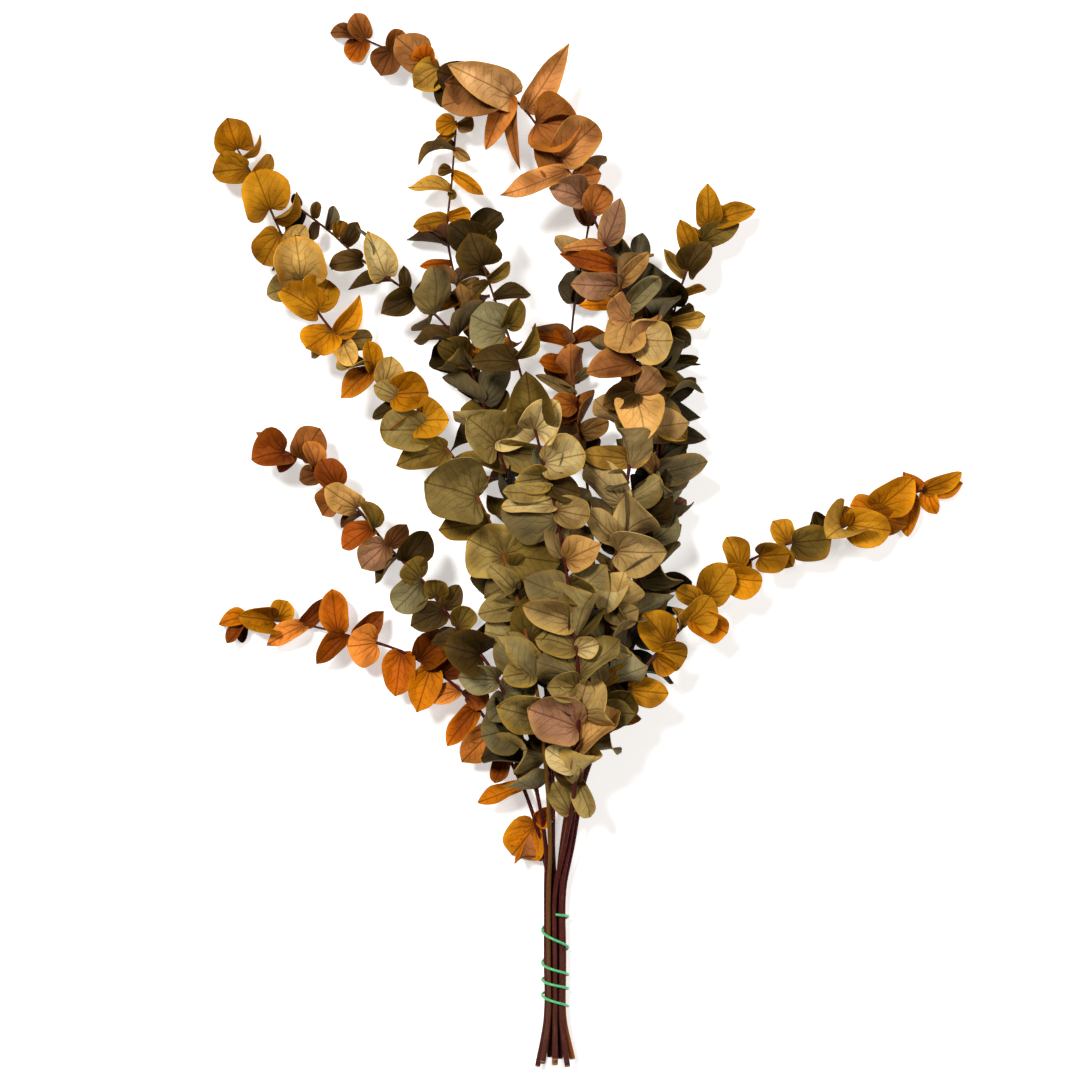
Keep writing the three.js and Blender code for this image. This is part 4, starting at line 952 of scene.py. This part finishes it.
# %% A mesh of leaves, each shaped from a grid
class Sheets:
    """A mesh that leaves are added to, with what each point of a leaf carries."""

    def __init__(self):
        self.mesh = bmesh.new()
        self.flat = self.mesh.verts.layers.float_vector.new("blade")
        self.marks = self.mesh.verts.layers.float_vector.new("marks")
        self.tint = self.mesh.verts.layers.float_color.new("tint")
        self.edge = self.mesh.verts.layers.float_color.new("edge")
        self.crease = self.mesh.edges.layers.float.new("crease_edge")
        self.sharp = self.mesh.verts.layers.float.new("crease_vert")

    def add_leaf(self, blade, stands, tint, edge, habit):
        """Shapes a grid into a leaf, thickens it downwards and creases its rim."""
        rows = len(ROWS) - 1
        grid = bmesh.ops.create_grid(self.mesh, x_segments=COLUMNS, y_segments=rows, size=1)["verts"]
        top = list({face for corner in grid for face in corner.link_faces})
        tip = [corner for corner in grid if corner.co.y > 0.99]
        for corner in grid:
            row = ROWS[round((corner.co.y + 1) / 2 * rows)]
            place, flat = leaf_place(blade, row, -corner.co.x, habit)
            corner.co = stands @ place
            corner.co.z = max(corner.co.z, BLADE_THICK + FLOOR_AIR)
            corner[self.flat] = flat
            corner[self.marks] = habit.marks
            corner[self.tint] = tint
            corner[self.edge] = edge
        bmesh.ops.pointmerge(self.mesh, verts=tip, merge_co=tip[0].co)
        next(corner for corner in tip if corner.is_valid)[self.sharp] = 1
        for face in top:
            face.normal_update()
        for corner in {corner for face in top for corner in face.verts}:
            corner.normal_update()
        made = bmesh.ops.extrude_face_region(self.mesh, geom=top, use_keep_orig=True)["geom"]
        under = {item for item in made if isinstance(item, bmesh.types.BMFace)}
        below = [item for item in made if isinstance(item, bmesh.types.BMVert)]
        for corner in below:
            thick = STALK_THICK if corner[self.flat].x < -0.5 and corner[self.flat].z == 0 else BLADE_THICK
            corner.co -= corner.normal * thick
            corner.co.z = max(corner.co.z, FLOOR_AIR)
        shell = {face for corner in below for face in corner.link_faces} | set(top)
        walls = shell - under - set(top)
        bmesh.ops.recalc_face_normals(self.mesh, faces=list(shell))
        for face in shell:
            face.smooth = True
            face.material_index = 1 if face in under else 0
        for wall in walls:
            for edge in wall.edges:
                if any(face not in walls for face in edge.link_faces):
                    edge.smooth = False
                    edge[self.crease] = 1


print("a blade is", BLADE_THICK, "mm thick")

# %% [markdown]
# ## The colours
#
# The photograph's bunch runs from mustard and orange at the outer tips to khaki and grey olive in the middle, and
# each stem changes along its length. One colour ramp along each stem would make neighbours too alike, because real
# leaves on one twig dried differently. So each stem has a few groups of colours from its first leaves to its tip,
# and a leaf picks one from the group nearest to it and is made a little lighter or darker. A leaf that was read from
# the photograph brings its own colour. A leaf with others close above it is also made darker, as painted shade for
# the light that those leaves keep from it, and a leaf with none close above it is made lighter, as painted light.

# %% The leaves' colours, group by group along each stem
# Each colour is that of the middle of a leaf and that of its rim.
COLOURS = {
    "mustard": ("99660e", "ae7310"), "gold": ("ac6c08", "c17f0b"), "amber": ("b66606", "c67a0b"),
    "orange": ("994a06", "b0620a"), "rust": ("7c390b", "93490d"), "copper": ("a2602a", "b26a22"),
    "ginger": ("bb6c28", "c98030"), "tan": ("ad8146", "ba8840"), "khaki": ("836e3c", "9c7c32"),
    "olive": ("5f4b1d", "7d5b18"), "dark_olive": ("3f2f13", "523a11"), "slate": ("544a34", "6b572e"),
    "sage": ("746a47", "80693a"), "umber": ("463316", "654418"), "mauve": ("8a6247", "966c3e"),
    "straw": ("b5904b", "c38c33"), "peach": ("cb9a62", "cf9850"), "brown": ("7d4c26", "925e2a"),
    "bark_brown": ("683d1e", "784a1e"), "copper_tan": ("ad723e", "b97e38"), "khaki_tan": ("9a7e4c", "ab8844"),
    "hay": ("ad9763", "b8954c"), "umber_gold": ("6a4e1b", "956d1a"), "mustard_tan": ("9c742c", "b08024"),
}
TONES = {
    "stem_centre_olive": ("khaki tan", "khaki_tan straw olive", "khaki olive", "khaki olive khaki_tan", "olive sage"),
    "stem_arch_copper": ("khaki olive", "khaki sage", "khaki_tan sage straw", "khaki_tan khaki", "copper_tan tan",
        "copper_tan tan mauve", "copper_tan mauve"),
    "stem_upper_left_gold": ("khaki olive", "khaki", "khaki olive", "khaki mustard"),
    "stem_left_rust": ("sage slate", "sage olive"),
    "stem_right_gold": ("khaki mustard",),
    "stem_inner_slate": ("khaki sage", "sage khaki", "sage olive khaki", "khaki olive slate", "khaki_tan slate sage"),
    "stem_upper_left_umber": ("khaki olive", "olive sage", "olive khaki", "olive dark_olive", "dark_olive umber olive"),
    "stem_low_left_orange": ("orange amber",),
    "stem_right_sage": ("khaki sage", "sage olive", "umber dark_olive olive", "umber slate olive", "olive dark_olive"),
    "stem_thin_amber": ("ginger orange umber", "gold orange amber", "orange amber gold"),
    "stem_hidden_ginger": ("ginger orange", "orange amber umber", "amber tan straw brown", "orange brown copper_tan"),
}
READ_VARIES, CHANCE_VARIES = 0.2, 0.32  # how much lighter or darker than its colour a leaf may be
# Painted light on a leaf with nothing close above it, and painted shade on one deep in the bunch.
PAINTED_LIGHT_OUTSIDE, PAINTED_SHADE_DEEP = 1.16, 0.13  # how light a leaf is on the outside of the bunch and deep in it


def leaf_tints_and_painted_light(stem, leaf, habit):
    """The colours of a leaf's middle and of its rim, with painted light if nothing lies close over it and painted shade
    under other leaves.
    """
    name = leaf.colour
    if not name:
        groups = TONES[stem.name]
        last = stem.until or stem.line.length
        near = (leaf.reach - stem.lead) / (last - stem.lead) * (len(groups) - 1) + 0.9 * (habit.pick - 0.5)
        names = groups[min(max(round(near), 0), len(groups) - 1)].split()
        name = names[int(habit.tone * len(names))]
    varies = READ_VARIES if leaf.colour else CHANCE_VARIES
    # The leaf's own random tone, times painted light outside the bunch and painted shade deep in it.
    light = (1 + habit.light * varies) * mix(PAINTED_LIGHT_OUTSIDE, PAINTED_SHADE_DEEP, leaf.buried)
    middle, edge = (Vector(paint(code)[:3]) * light for code in COLOURS[name])
    edge = middle.lerp(edge, habit.edge)
    return (*middle, 1.0), (*edge, 1.0)


print(len(COLOURS), "leaf colours")

# %% [markdown]
# ## The finish of a dried leaf
#
# Seen close, a leaf has a thin dark rib, veins that fan out from its foot, thinner ones that leave the rib at about
# fifty degrees, and a fine net between them. The blade is blotched in small patches and its rim is yellower. Large pale
# and dark fields over it are partly its own uneven tone and partly painted highlight and painted shade, and it is
# painted darker towards its foot, as shade where it lies under other leaves. An image of a leaf could be laid on each
# blade, but a pattern worked out in the blade's own millimetres keeps the veins the right size on small and large
# leaves and follows every fold. The underside is duller and paler.

# %% Upper side and underside
FAN = 0.46  # radians between two of the veins that fan out
SIDE_VEINS = 6.0  # millimetres between two of the thinner ones
SEED_STEPS = (970, 530, 310)  # millimetres that move a leaf's patterns away from those of the others
BROAD, BLOTCHES, NET, SPOTS, GRAIN = 0.045, 0.1, 0.5, 0.55, 1.3  # how fine each pattern is, over a millimetre


def leaf_finish(name, upper):
    """The upper side or the underside of a dried leaf. Colours are worked from the leaf's own two."""
    made = Finish(name)
    u, v, rim = made.split(made.attribute("blade"))
    seed, age, bloom = made.split(made.attribute("marks"))
    tint = made.attribute("tint", "Color")
    edge = made.attribute("edge", "Color")
    spot = made.join(u + seed * SEED_STEPS[0], v + seed * SEED_STEPS[1], seed * SEED_STEPS[2])
    aside = abs(v)
    drift = made.noise(spot, 0.09, 2.0) - 0.5

    # Veins that fan out from the foot and bend forwards, and the rib.
    forward = u + 1.4
    reach = (forward * forward + v * v).root()
    fan = aside.sum("ARCTAN2", aside, forward) / FAN + reach * 0.022 + drift * 1.3
    line = (fan + 0.5).part() - 0.5
    fan_vein = (abs(line) * reach * FAN).fade(0.6, 0.12) * reach.fade(30.0, 4.0) * rim.fade(1.0, 0.55, 0.25, 1.0)
    rib = aside.fade(0.6, 0.2) * u.fade(-1.5, 0.5)
    # Thinner ones that leave the rib one after another.
    row = (u - aside * 0.85 - aside * aside * 0.012 + drift * 7.0) / SIDE_VEINS
    side_vein = (abs(row.part() - 0.5) * SIDE_VEINS).fade(0.45, 0.08) * u.fade(5.0, 9.0) * rim.fade(0.95, 0.4, 0.2, 1.0)
    net = made.node("TexVoronoi", {"feature": "DISTANCE_TO_EDGE"}, {"Vector": spot, "Scale": NET}).fade(0.1, 0.01)
    veins = rib.most(fan_vein * 0.85).most(side_vein * 0.6).most(net * 0.2)

    # Blotches, grain and spots, and large pale and dark fields that are partly the leaf's own uneven tone and partly
    # painted light and shade.
    patches = made.noise(spot, BLOTCHES, 4.0)
    blotch = patches.fade(0.42, 0.68)
    pale = patches.fade(0.46, 0.3)
    grain = made.noise(spot, GRAIN, 2.0)
    spots = made.noise(spot, SPOTS, 0.0).fade(0.74, 0.8) * age.fade(0.5, 0.9)
    large_light_and_tone = made.noise(spot, BROAD, 1.0)
    toward_edge = (rim.fade(0.25, 1.0) + blotch * 0.5 - 0.15).fade(0.0, 1.0)
    colour = made.blend(toward_edge, tint, edge)
    colour = made.blend(blotch * 0.35, colour, (0.66, 0.58, 0.46, 1), "MULTIPLY")
    colour = made.blend(pale * bloom * 0.5, colour, (1.25, 1.2, 1.1, 1), "MULTIPLY")
    colour = made.blend(grain.fade(0.3, 0.7) * 0.25, colour, (0.82, 0.8, 0.74, 1), "MULTIPLY")
    colour = made.blend(spots * 0.6, colour, (0.4, 0.3, 0.2, 1), "MULTIPLY")
    # Painted highlight on the pale fields and painted shade on the dark ones, over the leaf's own uneven tone.
    colour = made.blend(large_light_and_tone.fade(0.5, 0.3), colour, (1.26, 1.3, 1.4, 1), "MULTIPLY")
    colour = made.blend(large_light_and_tone.fade(0.48, 0.72), colour, (0.54, 0.5, 0.44, 1), "MULTIPLY")
    # Painted shade towards the foot, where the blade lies by the stem and under other leaves.
    colour = made.blend(reach.fade(13.0, 0.5) * 0.55, colour, (0.5, 0.42, 0.34, 1), "MULTIPLY")
    if not upper:
        colour = made.blend(0.22, colour, paint("8f8360"))
    ink = (0.36, 0.27, 0.2, 1) if upper else (0.55, 0.46, 0.36, 1)
    colour = made.blend(veins * 0.72, colour, ink, "MULTIPLY")
    # Between the veins the blade puffs up a little, and it crumpled as it dried.
    puffs = abs(line).fade(0.0, 0.45) * reach.fade(2.0, 12.0) * 0.9
    crumples = made.noise(spot, 0.11, 1.0) * 5.0
    height = crumples + puffs + grain * 0.3 - veins
    made.surface({
        "Base Color": colour,
        "Roughness": grain.fade(0.3, 0.8, 0.5, 0.7) if upper else grain.fade(0.3, 0.8, 0.62, 0.8),
        "Specular IOR Level": 0.04,
        "Normal": made.bump(height, 0.8, 0.0004),
    })
    return made.material


LEAF_UPPER = leaf_finish("dried_leaf_upper_side", True)
LEAF_UNDER = leaf_finish("dried_leaf_underside", False)
print("leaf finishes:", len(LEAF_UPPER.node_tree.nodes), "and", len(LEAF_UNDER.node_tree.nodes), "nodes")

# %% A piece that stands for a node of the model
ROUNDED = 1  # levels of subdivision


def piece(name, mesh, materials, node):
    """Makes a mesh an object of the scene that stands for a node of the model."""
    mesh.transform(TO_FRAME)
    data = bpy.data.meshes.new(name)
    mesh.to_mesh(data)
    mesh.free()
    for material in materials:
        data.materials.append(material)
    made = bpy.data.objects.new(name, data)
    bpy.context.scene.collection.objects.link(made)
    rounded = made.modifiers.new("rounded", "SUBSURF")
    rounded.levels = rounded.render_levels = ROUNDED
    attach(made, "root")
    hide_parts(node)
    return made


# %% How deep each leaf lies in the bunch, for its painted shade
OVERHEAD_FROM, OVERHEAD_ACROSS = 4.0, 16.0  # millimetres that another leaf is higher, and at most aside, to cover it
FULL_SHADE_UNDER = 3  # leaves over one that is deep in the bunch

for stem in STEMS:
    for leaf in stem.leaves:
        leaf.stands.translation, heading = stem.line.place(leaf.reach, stem_radius(stem.line, leaf.reach))
        leaf.middle = leaf.stands @ leaf.blade.at(0.5, 0)
every_leaf = [leaf for stem in STEMS for leaf in stem.leaves]
# A leaf with others close above it gets a share of painted shade in its colour, all of it under three or more.
for leaf in every_leaf:
    over = [other for other in every_leaf if other.middle.z > leaf.middle.z + OVERHEAD_FROM]
    cover = sum((other.middle - leaf.middle).xy.length < OVERHEAD_ACROSS for other in over)
    leaf.buried = min(1, cover / FULL_SHADE_UNDER)
print(sum(leaf.buried == 1 for leaf in every_leaf), "leaves are deep in the bunch")

# %% The leaves of every stem
for number, stem in enumerate(STEMS):
    sheets = Sheets()
    for leaf in stem.leaves:
        habit = Habit(number, leaf.number)
        sheets.add_leaf(leaf.blade, leaf.stands, *leaf_tints_and_painted_light(stem, leaf, habit), habit)
    made = piece("leaves_" + stem.name.removeprefix("stem_"), sheets.mesh, (LEAF_UPPER, LEAF_UNDER), stem.name)
    print(made.name, len(made.data.polygons), "faces before rounding")

# %% [markdown]
# ## The stalks
#
# Each stalk is a round twig that tapers from about 4 mm at its cut end and 3.3 mm at the tie to 1.4 mm at its tip. It
# thickens at each pair of leaves. A curve with a bevel would be quicker, but it can't carry the swellings and the
# flat, pale cut end. So a circle is extruded along the line of the stem, one short step at a time, and turned and
# scaled to fit.

# %% A twig, extruded ring by ring
SIDES = 8
RING_STEP = 6.0  # millimetres between two rings
KNOTS_APART, KNOT_TO_TIP = 6, 4  # a swelling is at least so far from the one before and from the tip
KNOT_STEP, KNOT_CLEAR = 2.0, 3.2  # a swelling has rings at these distances, and no plain ring nearer than this


def ring_frame(point, heading, radius):
    """The matrix that puts a circle round a point, square to the heading."""
    side = heading.cross(UP).normalized()
    top = side.cross(heading)
    columns = (side * radius, top * radius, heading)
    return Matrix([[column[i] for column in columns] + [point[i]] for i in range(3)] + [[0, 0, 0, 1]])


class Tube:
    """A mesh that tubes are added to. Each point keeps where it is along and round the straightened tube."""

    def __init__(self):
        self.mesh = bmesh.new()
        self.place = self.mesh.verts.layers.float_vector.new("straight")
        self.tint = self.mesh.verts.layers.float_color.new("tint")

    def mark(self, ring, turned, reach, tint):
        """Gives each point of a ring its place on the straightened tube and its colour."""
        for corner in ring:
            local = turned.inverted() @ corner.co
            radius = turned.col[0].length
            corner[self.place] = (reach, local.x * radius, local.y * radius)
            corner[self.tint] = tint
            corner.co.z = max(corner.co.z, FLOOR_AIR)

    def add(self, frames, reaches, tints, sides=SIDES):
        """Runs a circle through the frames and closes both ends. Gives the face of the first end."""
        ring = bmesh.ops.create_circle(self.mesh, cap_ends=True, segments=sides, radius=1)["verts"]
        start = ring[0].link_faces[0]
        bmesh.ops.transform(self.mesh, matrix=frames[0], verts=ring)
        self.mark(ring, frames[0], reaches[0], tints[0])
        edges = list(start.edges)
        for i in range(1, len(frames)):
            made = bmesh.ops.extrude_edge_only(self.mesh, edges=edges)["geom"]
            ring = {item for item in made if isinstance(item, bmesh.types.BMVert)}
            bmesh.ops.transform(self.mesh, matrix=frames[i] @ frames[i - 1].inverted(), verts=list(ring))
            self.mark(ring, frames[i], reaches[i], tints[i])
            edges = list({edge for corner in ring for edge in corner.link_edges if edge.other_vert(corner) in ring})
        bmesh.ops.contextual_create(self.mesh, geom=edges)
        return start


def twig_reaches(stem):
    """Where a twig has its rings, and where it swells at its leaves."""
    knots = sorted({*pair_reaches(stem)} | {row[0] for row in stem.seen})
    knots = [knot for i, knot in enumerate(knots) if i == 0 or knot - knots[i - 1] > KNOTS_APART]
    knots = [knot for knot in knots if knot < stem.line.length - KNOT_TO_TIP]
    steps = math.ceil(stem.line.length / RING_STEP)
    plain = [stem.line.length * i / steps for i in range(steps + 1)]
    plain = [reach for reach in plain if all(abs(reach - knot) > KNOT_CLEAR for knot in knots)]
    return sorted(plain + [knot + step for knot in knots for step in (-KNOT_STEP, 0, KNOT_STEP)]), knots


print("the first stem swells at", len(twig_reaches(STEMS[0])[1]), "places")


# %% [markdown]
# ## The finish of the bark
#
# Most of the bark dried dark maroon, a few stalks are chestnut or ochre, and all have fine long cracks and a faint
# grey-lilac bloom, which is partly a painted sheen. Object coordinates would draw the cracks across a stem that bends,
# so the pattern is laid out on the straightened twig, which each point remembers.

# %% Bark, cut wood and green wire
def bark_finish():
    made = Finish("dry_bark")
    reach, x, y = made.split(made.attribute("straight"))
    tint = made.attribute("tint", "Color")
    cracks = made.noise(made.join(reach * 0.05, x, y), 1.7, 3.0)
    patches = made.noise(made.join(reach * 0.045, x * 0.3, y * 0.3), 1.0, 2.0)
    dots = made.node("TexVoronoi", {}, {"Vector": made.join(reach * 0.55, x, y), "Scale": 0.9}).fade(0.3, 0.16)
    colour = made.blend(cracks.fade(0.42, 0.62) * 0.6, tint, (0.5, 0.42, 0.4, 1), "MULTIPLY")
    # A faint grey-lilac bloom in patches, partly the bark's own bloom and partly a painted sheen.
    colour = made.blend(patches.fade(0.5, 0.75) * 0.07, colour, paint("7d6055"))
    colour = made.blend(dots * 0.12, colour, paint("a07a62"))
    made.surface({
        "Base Color": colour,
        "Roughness": cracks.fade(0.3, 0.7, 0.38, 0.55),
        "Specular IOR Level": 0.03,
        "Normal": made.bump(dots * 0.4 - cracks.fade(0.42, 0.62), 0.5, 0.0003),
    })
    return made.material


def cut_wood_finish():
    made = Finish("cut_wood")
    _, x, y = made.split(made.attribute("straight"))
    out = (x * x + y * y).fade(0.02, 2.4)
    specks = made.noise(made.attribute("straight"), 3.2, 3.0)
    colour = made.blend(out, paint("5a3c24"), paint("7f5d3c"))
    colour = made.blend(specks.fade(0.4, 0.65) * 0.5, colour, (0.6, 0.5, 0.42, 1), "MULTIPLY")
    made.surface({"Base Color": colour, "Roughness": 0.8, "Normal": made.bump(specks, 0.4, 0.0002)})
    return made.material


def green_wire_finish():
    made = Finish("green_coated_wire")
    rubs = made.noise(made.attribute("straight"), 0.8, 2.0)
    colour = made.blend(rubs.fade(0.4, 0.7) * 0.6, made.attribute("tint", "Color"), (0.72, 0.8, 0.75, 1), "MULTIPLY")
    made.surface({
        "Base Color": colour,
        "Roughness": rubs.fade(0.3, 0.7, 0.3, 0.45),
        "Normal": made.bump(rubs, 0.3, 0.0001),
    })
    return made.material


BARK, CUT_WOOD, GREEN_WIRE = bark_finish(), cut_wood_finish(), green_wire_finish()
print("bark and wire finishes made")

# %% Eleven stalks
BARKS = {"cut": "47201a", "low": "4a1a19", "high": "451714", "tip": "4a2a14", "ochre": "6a4a1c", "chestnut": "7c4215"}
LOW_BARK = {
    "stem_upper_left_gold": ("cut", "ochre"),
    "stem_right_sage": ("chestnut", "low"),
    "stem_right_gold": ("chestnut", "low"),
    "stem_inner_slate": ("chestnut", "ochre"),
}
HIGH_BARK = {"stem_upper_left_gold": "chestnut", "stem_hidden_ginger": "chestnut", "stem_right_gold": "tip"}
THICKER_BELOW, THICKER_ABOVE = 1.22, 1.0  # against the model's rods, at the cut end and at the tip
SWELLING, SWELLING_HALF = 0.3, 1.8  # how much thicker a twig is at its leaves, and over how many millimetres
ROUGH = 0.05  # how much a ring may be thicker or thinner than the even taper
CUT_RIM = 0.25  # millimetres of bark round the cut wood


def bark_tint(stem, share):
    """The colour of the bark at a share of the way from the cut end to the tip."""
    names = (*LOW_BARK.get(stem.name, ("cut", "low")), HIGH_BARK.get(stem.name, "high"), "high", "tip")
    colours = [Vector(paint(BARKS[name])) for name in names]
    return tuple(along(colours, share))


for number, stem in enumerate(STEMS):
    chance = random.Random(500 + number)
    tube = Tube()
    reaches, knots = twig_reaches(stem)
    frames = []
    for reach in reaches:
        radius = stem_radius(stem.line, reach)
        point, heading = stem.line.place(reach, radius)
        swollen = sum(math.exp(-(((reach - knot) / SWELLING_HALF) ** 2)) for knot in knots)
        rough = 1 + chance.uniform(-ROUGH, ROUGH)
        fuller = mix(THICKER_BELOW, THICKER_ABOVE, reach / stem.line.length)
        frames.append(ring_frame(point, heading, radius * fuller * rough * (1 + SWELLING * swollen)))
    tints = [bark_tint(stem, reach / stem.line.length) for reach in reaches]
    start = tube.add(frames, reaches, tints)
    for edge in start.edges:
        edge.smooth = False
    inner = bmesh.ops.inset_region(tube.mesh, faces=[start], thickness=CUT_RIM)["faces"]
    for face in tube.mesh.faces:
        face.smooth = True
    for face in [start, *inner]:
        face.material_index = 1
    bmesh.ops.recalc_face_normals(tube.mesh, faces=tube.mesh.faces)
    made = piece("stalk_" + stem.name.removeprefix("stem_"), tube.mesh, (BARK, CUT_WOOD), stem.name)
    print(made.name, len(made.data.polygons), "faces before rounding")

# %% [markdown]
# ## The tie
#
# A length of green coated wire runs four times round the bundle, a little nearer to the cut ends each time. It is a
# tube that follows a screw line, so the same extruding does it: each ring of the tube is set a little further round
# and along.

# %% Green wire, four turns
TIE_REACH = RING + TIED_RADIUS + 1.25  # from the middle of the bundle to the middle of the wire
WIRE_RADIUS, WIRE_SIDES = 0.95, 10
TIE_Y = (-250, -259, -271, -281, -289, -292, -298, -302, -310)  # after the first quarter, then at each half turn
TIE_START_Y = -248  # on top of the bundle
STEPS_PER_TURN = 28
GREEN = "43a868"

half_turns = len(TIE_Y) - 1
degrees = 90 + 180 * half_turns
steps = round(degrees * STEPS_PER_TURN / 360)
points = []
for i in range(steps + 1):
    turned = degrees * i / steps
    angle = math.radians(90 - turned)
    y = mix(TIE_START_Y, TIE_Y[0], turned / 90) if turned < 90 else along(TIE_Y, (turned - 90) / (180 * half_turns))
    points.append(Vector((TIED_X + TIE_REACH * math.cos(angle), y, TIED_Z + TIE_REACH * math.sin(angle))))

tube = Tube()
frames, reaches = [], []
reach = 0.0
for i, point in enumerate(points):
    heading = (points[min(i + 1, steps)] - points[max(i - 1, 0)]).normalized()
    first = (Vector((0, 1, 0)) - heading * heading.y).normalized()
    second = heading.cross(first)
    reach += (point - points[i - 1]).length if i else 0
    columns = (first * WIRE_RADIUS, second * WIRE_RADIUS, heading)
    frames.append(Matrix([[c[k] for c in columns] + [point[k]] for k in range(3)] + [[0, 0, 0, 1]]))
    reaches.append(reach)
tube.add(frames, reaches, [paint(GREEN)] * len(frames), WIRE_SIDES)
for face in tube.mesh.faces:
    face.smooth = True
bmesh.ops.recalc_face_normals(tube.mesh, faces=tube.mesh.faces)
made = piece("tie_wire", tube.mesh, (GREEN_WIRE,), "tie_green")
print("the wire is", round(reach), "mm long")

# %% [markdown]
# ## The size
#
# The dressed bunch has to be the size of the model.
